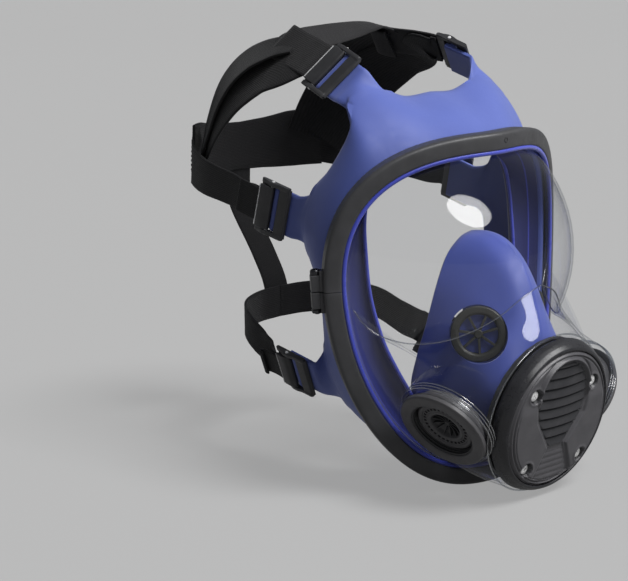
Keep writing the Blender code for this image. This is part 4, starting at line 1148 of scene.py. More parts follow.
def cup_column(edge, mid, angle):
    ring = front_round(angle, CUP_R, CUP_H)
    control = 2 * mid - 0.5 * (edge + ring)
    # the free edge turns in a little, as a seal does
    lip = edge + np.array((0.0, 1.6, 0.0)) + 1.6 * unit(np.array((0, -36, -20)) - edge)
    return [lip] + [quadratic(edge, control, ring, t) for t in np.linspace(0, 1, 22)]


def cup_shell():
    fractions = np.linspace(0, 1, CUP_HALF_COLUMNS + 1)
    edges = along(smooth_curve(CUP_EDGE, 16), fractions)
    mids = along(smooth_curve(CUP_MID, 16), fractions)
    grid = both_halves([cup_column(e, m, math.pi * f) for e, m, f in zip(edges, mids, fractions)])
    normals = skin_normals(grid)
    if np.sum(normals * (grid - grid.reshape(-1, 3).mean(0))) < 0:
        normals = -normals
    rows = grid.shape[1]
    thick = np.interp(np.arange(rows), (0, 2, rows - 1), (0.8, CUP_T, CUP_T))
    inner = grid - normals * thick[None, :, None]
    inner[:, -1] = grid[:, -1] + (front(0, 0, CUP_H) - grid[:, -1]) * (CUP_T / CUP_R)
    return double_skin(grid, inner)


valve_bore = lathe(((0, -12), (17.0, -12), (17.0, 14), (0, 14)), 64)
cup = combine(cup_shell(), [moved(valve_bore, **valve_place(side)) for side in (1, -1)],
              "DIFFERENCE")
piece("nose_cup_fine", cup, "blue_silicone_cup", "blue_silicone", "nose_cup", angle=50)

# check valves: a seat of ring, hub and spokes, with a disc behind it
seat_ring = lathe(rounded(((11.4, -1.3), (16.5, -1.3), (16.5, 0.9), (15.9, 1.5), (13.0, 1.7),
                           (11.9, 1.2), (11.4, 0.4)), 0.3), 96)
seat_hub = lathe(((0, -1.2), (2.4, -1.2), (2.6, -0.8), (2.6, 0.9), (2.1, 1.4), (0, 1.5)), 32)
spoke = block((1.6, 11.9), (-0.75, 0.75), (-1.0, 0.9), bevel=0.3, segments=2)
seat = joined([seat_ring, seat_hub] + ring_of(spoke, 7, 0.3))
disc = lathe(((0, 0.85), (1.8, 0.85), (2.6, 0.35), (10.5, 0.30), (12.6, 0.18), (12.6, -0.18),
              (10.0, -0.35), (0, -0.35)), 64)
disc = moved(disc, axes=((1, 0, 0), (0, -1, 0), (0, 0, -1)))
for tag, side in SIDES:
    place = valve_place(side)
    piece("cup_valve_ring_" + tag, seat, "seat_olive_black", "black_plastic",
          "cup_valve_seat_" + tag, angle=32, **place)
    flap = "cup_valve_flap_" + tag
    piece("cup_valve_disc_" + tag, disc, "blue_silicone_cup", "clear_valve", flap, body=flap,
          at=place["at"] - place["axes"][:, 2] * 2.2, axes=place["axes"], angle=32)

# ================================================================ head form and buckle places
HEAD_CENTRE, HEAD_RADII = np.array((0.0, 32.0, 58.0)), np.array((76.5, 133.0, 94.0))
HEAD_POWER = 3.0
# place and outward and strapward directions; foot: where its tab leaves the blank, half_w: the
# tab's half width there
BUCKLES = {
    "top": dict(at=(-55.0, 14.4, 135.0), out=(-0.74, -0.10, 0.66), strapward=(0.19, 0.93, 0.26),
                foot=(-54, 0, 129), half_w=24.0),
    "temple": dict(at=(-79.0, 37.0, 55.0), out=(-0.99, -0.06, 0.02),
                   strapward=(-0.01, 0.97, 0.22), foot=(-79.5, 23, 54), half_w=25.0),
    "lower": dict(at=(-61.0, 37.0, -47.5), out=(-0.86, 0.05, -0.50),
                  strapward=(0.12, 0.93, 0.34), foot=(-60, 20, -45), half_w=23.0),
}


def head_normal(p):
    d = (np.array(p, float) - HEAD_CENTRE) / HEAD_RADII
    return unit(np.sign(d) * np.abs(d) ** (HEAD_POWER - 1) / HEAD_RADII)


def on_head(p, off=0.0):
    """A point pushed onto the head form, and off it by a distance."""
    d = (np.array(p, float) - HEAD_CENTRE) / HEAD_RADII
    q = HEAD_CENTRE + HEAD_RADII * d / np.sum(np.abs(d) ** HEAD_POWER) ** (1 / HEAD_POWER)
    return q + off * head_normal(q)


def buckle_axes(key, side):
    """A buckle's place and its axes: across, strapward, out."""
    spec = BUCKLES[key]
    out = unit(mirrored(spec["out"], side))
    strapward = square_to(mirrored(spec["strapward"], side), out)
    axes = np.column_stack((np.cross(strapward, out), strapward, out))
    return mirrored(spec["at"], side), axes


def follow_buckle(ob):
    """Bakes a piece's placement into its mesh."""
    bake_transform(ob)


# ================================================================ face blank
# the sheet's back edge, from brow to chin
BLANK_EDGE = (
    (0, -3.8, 124.5), (-20, -2.5, 123.5), (-36, -2.5, 128), (-52, 0, 129.5), (-64, 2, 123),
    (-68.5, -5, 113), (-71, -4, 103), (-76, 5, 85), (-78, 16, 73), (-79.5, 23, 55),
    (-78.5, 22, 38), (-75, 18, 24), (-69, 19, 4), (-63, 23, -18), (-61, 23, -36),
    (-56, 12, -60), (-42, 0, -75), (-22, -14, -86), (0, -20, -90))
# (outward, forward) of the rim: the flange's two faces
FLANGE_OUTER = ((-3.4, -9.1), (-8.1, -9.1), (-8.5, -9.9))
FLANGE_INNER = ((-3.4, -5.9), (-11.6, -5.7), (-12.4, -6.4), (-12.6, -8.4))
SHEET_T, SHEET_ROWS, SHEET_HALF_COLUMNS = 2.7, 15, 130
EDGE_LINE = smooth_curve(BLANK_EDGE, 24)
EDGE_D = lengths(EDGE_LINE)


def edge_normal(edge):
    """Roughly outward at a point of the back edge."""
    x, _, z = edge
    top = unit((0.25 * x / 70, -0.42, 0.88))
    sidewise = unit((math.copysign(1.0, x or 1.0), -0.25, 0.1))
    chin = unit((0.35 * x / 60, -0.25, -0.9))
    top_share = clamp((z - 84) / 40)
    chin_share = clamp((-30 - z) / 55)
    side_share = max(0.0, 1 - top_share - chin_share) * (1.0 if abs(x) > 1 else 0.0)
    return unit(top * top_share + chin * chin_share + sidewise * side_share + top * 1e-6)


def sheet_line(k):
    """Middle line of the sheet at fraction k from brow to chin, from the rim to the back edge."""
    s = 0.5 * k
    edge = along(EDGE_LINE, [k])[0]
    rim = rim_point(s, -10.5, -12.9)
    normal = edge_normal(edge)
    mid = 0.5 * (rim + edge) + normal * 3.5
    pts = smooth_curve([rim_point(s, -10.4, -10.2), rim, rim + 0.30 * (mid - rim) + normal * 0.9,
                        mid, 0.45 * mid + 0.55 * edge + normal * 0.8, edge], 8)[8:]
    return along(pts, np.linspace(0, 1, SHEET_ROWS))


def sheet_middle():
    mids = np.array([sheet_line(i / SHEET_HALF_COLUMNS) for i in range(SHEET_HALF_COLUMNS + 1)])
    # evened out along the rim so that no column stands proud
    for _ in range(10):
        pad = np.concatenate([mids[1:2] * MIRROR, mids, mids[-2:-1] * MIRROR])
        even = 0.25 * pad[:-2] + 0.5 * pad[1:-1] + 0.25 * pad[2:]
        mids[:, 2:-1] = even[:, 2:-1]
    return both_halves(mids)


SHEET = sheet_middle()
SHEET_NORMALS = skin_normals(SHEET)
outward_ref = both_halves([edge_normal(e) for e in SHEET[:SHEET_HALF_COLUMNS + 1, -1]])
if np.sum(SHEET_NORMALS[:, 6] * outward_ref) < 0:
    SHEET_NORMALS = -SHEET_NORMALS


def sheet_at(k, row):
    """Point and normal of the sheet's middle at fraction k and a row, on the right side."""
    x = clamp(k) * SHEET_HALF_COLUMNS
    i = int(min(x, SHEET_HALF_COLUMNS - 1))
    f = x - i
    point = SHEET[i, row] * (1 - f) + SHEET[i + 1, row] * f
    return point, unit(SHEET_NORMALS[i, row] * (1 - f) + SHEET_NORMALS[i + 1, row] * f)


def tip_of(grid, reach):
    """A last row beyond the grid's free edge."""
    return (grid[:, -1] + unit(grid[:, -1] - grid[:, -2]) * reach)[:, None]


def flange(profile):
    return both_halves([[rim_point(0.5 * i / SHEET_HALF_COLUMNS, *p) for p in profile]
                        for i in range(SHEET_HALF_COLUMNS + 1)])


half_t = np.array([SHEET_T / 2 + 0.75 * (1 - ease(j / 4)) for j in range(SHEET_ROWS)])
half_t[-1] *= 0.55
offset = SHEET_NORMALS * half_t[:, None]
skirt = double_skin(np.concatenate([flange(FLANGE_OUTER), SHEET + offset, tip_of(SHEET, 0.7)], 1),
                    np.concatenate([flange(FLANGE_INNER), SHEET - offset], 1))
piece("face_blank_skirt", skirt, "blue_silicone_fine", "blue_silicone", "face_blank", angle=50)

# bright bead where the flange shows between the rim and the lens
bead = []
for i in range(300):
    row = []
    for a in [TURN * (j + 0.5) / 14 for j in range(14)]:
        stretch = 1.0 if math.cos(a) > 0 else 1.25
        row.append(rim_point(i / 300, -11.55 + 1.25 * math.cos(a) * stretch,
                             -1.55 + 1.3 * math.sin(a)))
    bead.append(row)
piece("face_blank_bead", tube(bead, closed=True), "blue_silicone_bead", "blue_silicone", angle=0)

# ================================================================ inner face seal
# the free edge of a thin lip that curls in from the rim towards the face
LIP_EDGE = ((0, -20, 96), (-20, -18, 95), (-42, -15, 90), (-58, -12, 76), (-64, -12, 58),
            (-65, -14, 35), (-64, -17, 10), (-60, -23, -15), (-54, -28, -32), (-46, -32, -48),
            (-38, -36, -64), (-22, -42, -80), (0, -44, -88))
LIP_LINE = smooth_curve(LIP_EDGE, 16)
LIP_HALF_COLUMNS = 120
# half thickness at each row from the rim
LIP_HALF_T = np.array([1.3, 1.2, 1.15, 1.1, 1.05, 1.0, 0.95, 0.9, 0.85, 0.8, 0.75, 0.8, 0.95])


def lip_column(k):
    s = 0.5 * k
    a = rim_point(s, -12.3, -9.0)
    d = along(LIP_LINE, [k])[0]
    forward = rim_axes(s)[3]
    b = a - forward * 12 + (d - a) * 0.10
    c = d * 0.80 + a * 0.20 - forward * 9
    return [(1 - t) ** 3 * a + 3 * t * (1 - t) ** 2 * b + 3 * t * t * (1 - t) * c + t ** 3 * d
            for t in np.linspace(0, 1, len(LIP_HALF_T))]


lip = both_halves([lip_column(i / LIP_HALF_COLUMNS) for i in range(LIP_HALF_COLUMNS + 1)])
lip_normals = skin_normals(lip)
if np.sum(lip_normals[:, 5] * (lip[:, 5] - lip[:, 5].mean(0))) < 0:
    lip_normals = -lip_normals
offset = lip_normals * LIP_HALF_T[:, None]
# the lip's deep navy silicone is painted shade
piece("face_seal_lip", double_skin(np.concatenate([lip + offset, tip_of(lip, 0.8)], 1),
                                   lip - offset),
      "blue_silicone_seal", "blue_silicone", angle=60)
# cords of the brighter bead silicone along the lip's free edge and along a ridge: painted
# highlight lines
piece("face_seal_edge", cord(lip[:, -1], lip_normals[:, -1], 1.15), "blue_silicone_bead",
      "blue_silicone", angle=0)
piece("face_seal_ridge", cord(lip[:, 2] + lip_normals[:, 2] * 0.3, lip_normals[:, 2], 1.6),
      "blue_silicone_bead", "blue_silicone", angle=0)

# ================================================================ strap tabs
# Each leaves the sheet on its own surface, narrows, and hooks its bead into the buckle.
TAB_HALF_W, TAB_STEPS = 13.3, 9
TAB_ACROSS = np.linspace(-1, 1, 27)[:, None]
# (distance strapward in the buckle, height of the outer face)
TAB_END = ((-1, 0.5), (2.5, 0.5), (6, 0.5), (7.7, 0.5), (7.95, 0.75), (8.1, 1.9), (8.45, 2.4),
           (9.0, 2.6), (11.2, 2.5), (11.7, 2.0), (12.1, 1.1), (13.2, 0.9), (14.4, 0.8),
           (14.8, 0.3))


def edge_fade(start, drop):
    """1 over the tab's middle, less towards its long edges from start on."""
    return 1 - drop * np.maximum(0, np.abs(TAB_ACROSS) - start) / (1 - start)


def tab_loops(key):
    at, axes = buckle_axes(key, 1)
    across, strapward, out = axes.T
    foot, wide = np.array(BUCKLES[key]["foot"], float), BUCKLES[key]["half_w"]
    centre_d = EDGE_D[int(np.argmin(np.linalg.norm(EDGE_LINE - foot, axis=1)))]
    ks = [(centre_d + w * wide) / EDGE_D[-1] for w in TAB_ACROSS[:, 0]]
    mid = len(ks) // 2

    def sheet_row(row):
        points, normals = zip(*[sheet_at(k, row) for k in ks])
        return np.array(points), np.array(normals)

    edge, edge_n = sheet_row(SHEET_ROWS - 1)
    middle = edge[mid]
    edge_across = unit(edge[-1] - edge[0])
    if np.dot(edge_across, across) <= 0:
        across = -across
    run = unit(middle - sheet_at(ks[mid], SHEET_ROWS - 3)[0])
    end = at - 4 * strapward - 1.0 * out
    span = np.linalg.norm(end - middle)
    half = SHEET_T / 2 - 0.06
    outer, inner = [], []
    for row in (SHEET_ROWS - 4, SHEET_ROWS - 3, SHEET_ROWS - 2):
        points, normals = sheet_row(row)
        lift = normals * half * edge_fade(0.86, 0.5)
        outer.append(points + lift)
        inner.append(points - lift)
    for j in range(TAB_STEPS + 1):
        t = j / TAB_STEPS
        # a Hermite curve from the sheet's own run to the buckle's
        centre = ((2 * t ** 3 - 3 * t ** 2 + 1) * middle + (t ** 3 - 2 * t ** 2 + t) * run * span
                  + (-2 * t ** 3 + 3 * t ** 2) * end + (t ** 3 - t ** 2) * strapward * span)
        side = unit(edge_across * (1 - ease(t)) + across * ease(t))
        normal = square_to(edge_n[mid] * (1 - ease(t)) + out * ease(t), side)
        half_w = TAB_HALF_W + (wide - TAB_HALF_W) * (1 - t) ** 3.8
        blend = 1 - ease(t * 1.3)
        points = (centre + side * TAB_ACROSS * half_w
                  + blend * (edge - middle - edge_across * TAB_ACROSS * wide))
        normals = unit(normal * (1 - blend) + edge_n * blend)
        lift = normals * (half * (1 - t) + 1.5 * t) * edge_fade(0.9, 0.45)
        outer.append(points + lift)
        inner.append(points - lift)
    at_side = np.abs(TAB_ACROSS) > 0.98
    for distance, high in TAB_END:
        points = at + distance * strapward + across * TAB_ACROSS * TAB_HALF_W
        outer.append(points + out * (high - 0.55 * at_side))
        inner.append(points - out * (2.5 - 0.5 * at_side))
    return [np.concatenate([a, b[::-1]]) for a, b in zip(outer, inner)]


for key in BUCKLES:
    loops = tab_loops(key)
    for tag, side in SIDES:
        ob = piece("face_tab_%s_%s" % (key, tag), tube(mirrored(loops, side)),
                   "blue_silicone_fine", "blue_silicone", angle=45, body=None)
        follow_buckle(ob)

# ================================================================ buckles
# made with x across, y strapward and z out
BUCKLE_W = 16.5  # half width
RAIL_W = 2.7
CAM_PIVOT = (0, 13.6, 3.0)
ALONG_X = ((0, 0, 1), (0, 1, 0), (-1, 0, 0))
RAIL = ((0.0, 1.6), (0.4, 0.9), (1.2, 0.8), (22.2, 0.8), (23.0, 1.4), (23.0, 2.6), (22.2, 3.2),
        (19.4, 3.7), (17.0, 4.5), (15.4, 4.9), (12.0, 4.9), (10.4, 4.5), (8.6, 4.1), (1.6, 4.0),
        (0.5, 3.5), (0.0, 2.8))
# crossbars: (y, z) profile, corner radius, inset of its ends, stations
CROSSBARS = (
    (((0.0, 1.0), (7.5, 0.9), (7.5, 3.3), (6.6, 3.9), (0.8, 3.6), (0.0, 2.9)), 0.45, 1.5, 14),
    (((17.4, 0.9), (23.0, 0.9), (23.0, 2.1), (22.2, 2.4), (17.9, 2.4), (17.4, 2.0)),
     0.35, 1.5, 8),
    (((-0.9, 1.2), (0.6, 0.9), (0.8, 3.2), (-0.4, 2.6)), 0.4, 1.2, 6))
CAM_TOP = ((1.9, 0.0), (2.6, 0.45), (7.0, 0.8), (7.9, 0.95), (8.35, 1.45), (8.3, 2.0),
           (7.8, 2.45), (7.0, 2.6), (3.2, 2.75), (1.6, 2.55), (0.5, 2.1))
# x, scale of the profile
CAM_STATIONS = ((-13.35, 0.86), (-13.2, 0.96), (-12.8, 1.0), (-6, 1.0), (0, 1.0), (6, 1.0),
                (12.8, 1.0), (13.2, 0.96), (13.35, 0.86))
CAM_TEETH = ((1.45, -1.05), (0.75, -1.6), (-0.1, -1.8))


def side_rail(x0, x1):
    """A long bar with a raised shoulder over the pin and slightly smaller end faces."""
    profile = rounded(RAIL, 0.35, 2)
    end = [(11.5 + (y - 11.5) * 0.985, 2.8 + (z - 2.8) * 0.86) for y, z in profile]
    stations = ((x0, end), (x0 + 0.35, profile), (x1 - 0.35, profile), (x1, end))
    return tube([[(x, y, z) for y, z in points] for x, points in stations])


def buckle_frame():
    parts = [side_rail(BUCKLE_W - RAIL_W, BUCKLE_W)]
    for profile, radius, inset, count in CROSSBARS:
        xs = np.linspace(-BUCKLE_W + inset, BUCKLE_W - inset, count)
        parts.append(bar(rounded(profile, radius), xs))
    mesh = combine(side_rail(-BUCKLE_W, -BUCKLE_W + RAIL_W), parts, "UNION")
    hole = lathe(((0, -20), (1.15, -20), (1.15, 20), (0, 20)), 24)
    return combine(mesh, [moved(hole, CAM_PIVOT, ALONG_X)], "DIFFERENCE")


def buckle_cam():
    """A lever round the pin, with teeth on its underside."""
    angles = [math.radians(d) for d in range(95, 320, 15)]
    profile = [(1.75 * math.cos(a), 1.75 * math.sin(a)) for a in angles] + list(CAM_TOP)
    mesh = tube([[(x, 3 + (y - 3) * q, 1.2 + (z - 1.2) * q) for y, z in profile]
                 for x, q in CAM_STATIONS])
    tooth = block((-12.4, 12.4), (-0.35, 0.35), (-0.35, 0.35))
    tilted = ((1, 0, 0), (0, 0.707, -0.707), (0, 0.707, 0.707))
    return combine(mesh, [moved(tooth, (0, y, z), tilted) for y, z in CAM_TEETH], "UNION")


frame_mesh, cam_mesh = buckle_frame(), buckle_cam()
# a pale strip along the cam's free edge: painted highlight
cam_edge_highlight = bar(rounded(((7.45, 2.35), (8.5, 1.65), (8.8, 2.1), (7.7, 2.85)), 0.1, 1),
               np.linspace(-12.6, 12.6, 4))
pin = lathe(rounded(((0, -16.9), (0.9, -16.9), (1.05, -16.4), (1.05, 16.4), (0.9, 16.9),
                     (0, 16.9)), 0.12, 2, closed=False), 24)
pin = moved(pin, axes=ALONG_X)
for key in BUCKLES:
    for tag, side in SIDES:
        at, axes = buckle_axes(key, side)
        which = key + "_" + tag
        piece("buckle_frame_" + which, frame_mesh, "buckle_black", "black_plastic",
              "buckle_" + which, body="buckle_" + which, at=at, axes=axes, angle=35)
        cam = "buckle_cam_" + which
        place = dict(body=cam, axes=axes,
                     at=at + CAM_PIVOT[1] * axes[:, 1] + CAM_PIVOT[2] * axes[:, 2])
        piece("buckle_bar_" + which, cam_mesh, "buckle_black", "black_satin", cam, angle=40,
              **place)
        piece("buckle_bar_edge_" + which, cam_edge_highlight, "buckle_polished_edge", "black_satin",
              angle=30, **place)
        piece("buckle_pin_" + which, pin, "screw_steel_fine", "screw_steel", angle=30, **place)


# ================================================================ webbing
def ribbon(points, widths, thick, facing=None, start=None, hold=0.0, start_u=0.0):
    """Flat webbing along points, with rounded selvedges.

    facing(point, tangent) gives its outer side, else it faces off the head; with start axes it
    faces along their z for the hold length first. UV is in metres: along it, and across it.
    """
    points = np.array(points, float)
    count = max(24, int(lengths(points)[-1] / 1.6))
    fractions = np.linspace(0, 1, count)
    points = along(points, fractions)
    d = lengths(points)
    all_widths = np.interp(fractions, np.linspace(0, 1, len(widths)), widths)
    tangents = unit(np.gradient(points, axis=0))
    r = thick / 2
    bend = [math.radians(a) for a in (50, 0, -50)]
    rows, across = [], None
    for point, tangent, distance, width in zip(points, tangents, d, all_widths):
        normal = unit(facing(point, tangent) if facing else head_normal(point))
        if start is not None:
            k = ease((distance - hold) / 26.0)
            normal = unit(start[:, 2] * (1 - k) + normal * k)
        normal = square_to(normal, tangent)
        sideways = np.cross(tangent, normal)
        half = width / 2
        flat = half - r
        section = [(x, r) for x in np.linspace(-flat, flat, 11)]
        section += [(flat + r * math.cos(a), r * math.sin(a)) for a in bend]
        section += [(x, -r) for x in np.linspace(flat, -flat, 11)]
        section += [(-flat - r * math.cos(a), r * math.sin(a)) for a in bend[::-1]]
        # the selvedge stands a hair proud
        rows.append([point + sideways * x
                     + normal * (y + 0.10 * (abs(x) / half) ** 6 * (1 if y > 0 else 0))
                     for x, y in section])
        if across is None:
            across = [x * MM for x, y in section]
    mesh = tube(rows, face_out=False)
    layer = mesh.uv_layers.new(name="UVMap")
    for loop in mesh.loops:
        i, j = divmod(loop.vertex_index, len(across))
        layer.data[loop.index].uv = (start_u + d[i] * MM, across[j])
    return outward(mesh)


def strap(name, points, widths, thick=1.6, material="black_webbing_fine", stands=None,
          buckle=None, **lay):
    """A webbing piece; a given buckle leaves it off the body with its placement baked, and the
    buckle's values are not used.
    """
    ob = piece(name, ribbon(points, widths, thick, **lay), material, "black_webbing", stands,
               body=None if buckle else BODY, angle=50)
    if buckle:
        follow_buckle(ob)


def from_buckle(at, axes, pairs):
    """Points from (strapward, out) distances of a buckle."""
    return [at + a * axes[:, 1] + b * axes[:, 2] for a, b in pairs]


# (strapward, out) of each buckle
LEAVING = ((15.7, 2.95), (18.5, 2.97), (21.5, 2.95), (24.5, 2.8), (28, 2.25))
TOP_RUN_AND_FOLD = (
    (34, 1.3), (42, 1.2), (50, 1.4), (57, 1.9), (62.5, 2.3), (66.0, 2.2), (67.9, 1.2),
    (68.2, -0.3), (66.6, -1.5), (62, -2.0), (55, -2.3))
TOP_UNDER = ((24.3, 1.0), (29, -0.4), (36, -2.6))
TEMPLE_TAIL = ((21.0, 4.75), (24.8, 4.35), (30, 3.9), (35, 3.5), (38.6, 3.4), (40.0, 2.6))
LOWER_TAIL = ((21.0, 4.75), (24.6, 4.4), (29, 4.3), (33, 4.7), (35.4, 5.9), (34.6, 7.2),
              (32.6, 7.0))
# paths on the wearer's right
TOP_MAIN = ((-57.3, 61, 138.2), (-59.0, 78, 133.6), (-60.4, 95, 126.0), (-60.0, 110, 116.4),
            (-57.3, 126, 102.5), (-53.5, 138, 88.5), (-50.5, 146, 78))
TOP_REAR = ((-43.0, 67, 150.6), (-46.6, 80, 148.9), (-50.5, 96, 143.2), (-53, 112, 132.6),
            (-53.2, 127, 116.5), (-51.3, 140, 95.5), (-50, 148.5, 77))
TEMPLE = ((-81.0, 74, 61.2), on_head((-77, 90, 64), 2.6), on_head((-68, 118, 67), 3.0),
          on_head((-57.5, 138, 70), 3.6), on_head((-50, 147.5, 73), 4.1))
LOWER = ((-60.5, 70, -39.0), (-60, 80, -36), (-56, 98, -29), (-43, 116, -26), (-22, 127, -25),
         (-4, 130, -25), (-0.2, 130.3, -25))


def top_straps(tag, side):
    at, axes = buckle_axes("top", side)
    strapward = axes[:, 1]
    buckle = ("top", side, 58.0)
    # outer layer: off the buckle to a fold, drifting to the crown as it goes back
    points = smooth_curve(from_buckle(at, axes, LEAVING + TOP_RUN_AND_FOLD), 8)
    drift = mirrored((4.5, 4.5, -3.6 if side > 0 else -7.5), side)
    for point in points:
        point += drift * ease((np.dot(point - at, strapward) - 28) / 40)
    # this outer layer takes the paler webbing: painted light
    strap("strap_top_outer_" + tag, points, (24.5, 25, 25.5, 25.5, 25.5, 25.5, 25), thick=1.5,
          material="grey_webbing_fine", buckle=buckle,
          facing=lambda point, tangent: np.cross(axes[:, 0], tangent))
    # main layer: under the outer one and down the head to the back band
    points = from_buckle(at, axes, TOP_UNDER) + list(mirrored(TOP_MAIN, side))
    strap("strap_top_main_" + tag, smooth_curve(points, 10), (24, 25, 29, 34, 37, 37, 36, 36),
          stands="strap_top_" + tag, buckle=buckle, start=axes, hold=5, start_u=0.2)
    # rear layer: from under the fold down to the back band
    strap("strap_top_rear_" + tag, smooth_curve(mirrored(TOP_REAR, side), 10),
          (18, 30, 34, 35, 35, 36, 37), start_u=0.4)


def temple_straps(tag, side):
    at, axes = buckle_axes("temple", side)
    buckle = ("temple", side, 44.0)
    points = from_buckle(at, axes, LEAVING) + list(mirrored(TEMPLE, side))
    strap("strap_temple_outer_" + tag, smooth_curve(points, 10),
          (20.5, 20.5, 21, 21.5, 23, 25, 27), stands="strap_temple_" + tag, buckle=buckle,
          start=axes, hold=14)
    # the short tail end laid over it
    strap("strap_temple_tail_" + tag, smooth_curve(from_buckle(at, axes, TEMPLE_TAIL), 8),
          (20.5, 20.5, 20.6), thick=1.3, buckle=buckle, start=axes, hold=60, start_u=0.05)


def lower_straps(tag, side):
    """Back past the jaw and round behind the neck, with a rolled tail end."""
    at, axes = buckle_axes("lower", side)
    buckle = ("lower", side, 44.0)
    points = from_buckle(at, axes, LEAVING) + list(mirrored(LOWER, side))
    strap("strap_lower_web_" + tag, smooth_curve(points, 10), (20, 20, 20, 20.5, 21, 21, 21),
          stands="strap_lower_" + tag, buckle=buckle, start=axes, hold=14,
          facing=lambda point, tangent: (point[0], 0.9 * (point[1] - 62), 0.0))
    strap("strap_lower_tail_" + tag, smooth_curve(from_buckle(at, axes, LOWER_TAIL), 8),
          (20, 20, 20), thick=1.3, buckle=buckle, start_u=0.05,
          facing=lambda point, tangent: np.cross(axes[:, 0], tangent))


for tag, side in SIDES:
    top_straps(tag, side)
    temple_straps(tag, side)
    lower_straps(tag, side)

# straps across the middle
CROWN = ((-37.5, 78.5, 144.6), (-35.5, 78.5, 148.0), (-30, 79, 150.6), (-16, 81, 152.6),
         (0, 81.5, 154.0), (16, 80.5, 155.6), (28, 78, 157.0), (36, 75, 156.9), (43, 71, 153.2),
         (46.5, 67, 150.6))
BACK_BAND = ((-52, 144, 76), (-40, 154, 75), (-27, 160, 74), (0, 164, 74), (27, 160, 74),
             (40, 154, 75), (52, 144, 76))
SPINE = (on_head((0, 164, 76), 5.4), on_head((0, 164, 62), 5.1), on_head((0, 160, 38), 3.0),
         (0, 146.0, 6.0), (0, 134.6, -14.0), (0, 132.4, -35.0))


def crown_facing(point, tangent):
    return head_normal(point) * (1, 0, 1) - np.array((0, 0.30 - 0.005 * point[0], 0))


# the crown strap takes the paler webbing: painted light
strap("strap_crown_web", smooth_curve(CROWN, 12), (24, 25, 26, 27, 27, 27, 26, 25, 23, 21),
      material="grey_webbing_fine", stands="strap_crown", facing=crown_facing)
strap("harness_back_pad", smooth_curve([on_head(q, 3.7) for q in BACK_BAND], 12),
      (38, 38, 34, 32, 34, 38, 38), thick=1.8, stands="harness_back_band")
strap("strap_spine_web", smooth_curve(SPINE, 12), (22, 21, 20, 20, 20), stands="strap_spine",
      facing=lambda point, tangent: (0, 1, 0.02 * (point[2] - 20)))

# ================================================================ stitching
STITCH_PITCH, STITCH_R, STITCH_END = 2.6, 0.42, 1.7 / 2
STITCH = lathe(rounded(((0, -STITCH_END), (STITCH_R * 0.6, -STITCH_END + 0.1), (STITCH_R, 0),
                        (STITCH_R * 0.6, STITCH_END - 0.1), (0, STITCH_END)),
                       0.2, 2, closed=False), 8)


def stitch_line(points, facing):
    """A row of small stitches along points."""
    count = max(2, int(lengths(points)[-1] / STITCH_PITCH))
    ends = along(points, np.linspace(0, 1, count + 1))
    stitches = []
    for a, b in zip(ends, ends[1:]):
        mid = (a + b) / 2
        tangent = unit(b - a)
        normal = square_to(facing(mid), tangent)
        axes = np.column_stack((np.cross(normal, tangent), normal, tangent))
        stitches.append(moved(STITCH, mid, axes))
    return stitches


def box_stitch(centre, half_u, half_v, lay, facing):
    """A sewn box with a cross in it; lay puts each point on the webbing."""
    centre, half_u, half_v = (np.array(p, float) for p in (centre, half_u, half_v))
    corners = [centre - half_u - half_v, centre + half_u - half_v, centre + half_u + half_v,
               centre - half_u + half_v]
    stitches = []
    for i, j in ((0, 1), (1, 2), (2, 3), (3, 0), (0, 2), (1, 3)):
        a, b = corners[i], corners[j]
        points = [lay(a + (b - a) * t) for t in np.linspace(0, 1, 6)]
        stitches += stitch_line(points, facing)
    return stitches


thread = []
for side in (1, -1):
    thread += box_stitch(mirrored(on_head((-46.5, 149, 76)), side),
                         mirrored((3.8, 3.4, 0), side), (0, 0, 11.5),
                         lambda q: on_head(q, 4.85), head_normal)
thread += box_stitch(on_head((0, 164, 70)), (7.5, 0, 0), (0, 0, 6.5),
                     lambda q: on_head(q, 6.1), head_normal)
piece("harness_stitching", joined(thread), "stitch_thread", "black_webbing", angle=60)
# at the neck the strap leans by a steady slope
thread = box_stitch((0, 0, -25), (7, 0, 0), (0, 0, -6.5),
                    lambda q: (q[0], 133.95 + 0.09975 * (q[2] + 14), q[2]),
                    lambda q: np.array((0, 1, 0)))
piece("neck_stitching", joined(thread), "stitch_thread", "black_webbing", angle=60)

# ================================================================ carried-over CAD nodes
SLOT_MATERIALS = {
    "blue_silicone": "blue_silicone_fine", "clear_polycarbonate": "clear_lens",
    "black_plastic": "inner_black", "black_satin": "port_black",
    "black_rubber": "black_rubber_fine", "grey_film": "grey_film_fine",
    "screw_steel": "screw_steel_fine", "clear_valve": "clear_valve_fine",
    "black_webbing": "black_webbing_fine"}
for ob in bpy.data.objects:
    if ob.type != "MESH" or ob.name not in frame["nodes"]:
        continue
    for slot in ob.material_slots:
        key = (slot.material.name if slot.material else "black_plastic").split(".")[0]
        slot.material = MATERIALS[SLOT_MATERIALS.get(key, "inner_black")]

# ================================================================ floor and world
FLOOR_HALF = 24  # metres
FLOOR_DROP = 0.0012
floor_z = CAD_BOX[0][2] - FLOOR_DROP
floor_mesh = bpy.data.meshes.new("floor")
floor_mesh.from_pydata([(x * FLOOR_HALF, y * FLOOR_HALF, floor_z)
                        for x, y in ((-1, -1), (1, -1), (1, 1), (-1, 1))], [], [(0, 1, 2, 3)])
floor = bpy.data.objects.new("floor", floor_mesh)
SCENE.collection.objects.link(floor)
tree, shader, coord = new_material("studio_floor")
tone = noise(tree, coord, scale=0.6, detail=2, roughness=0.5)
grey_ramp(tree, tone, shader.inputs["Base Color"], low=0.157, high=0.163)
set_values(shader, {"Roughness": 0.9, "Specular IOR Level": 0.0, "Emission Color": (1, 1, 1, 1)})
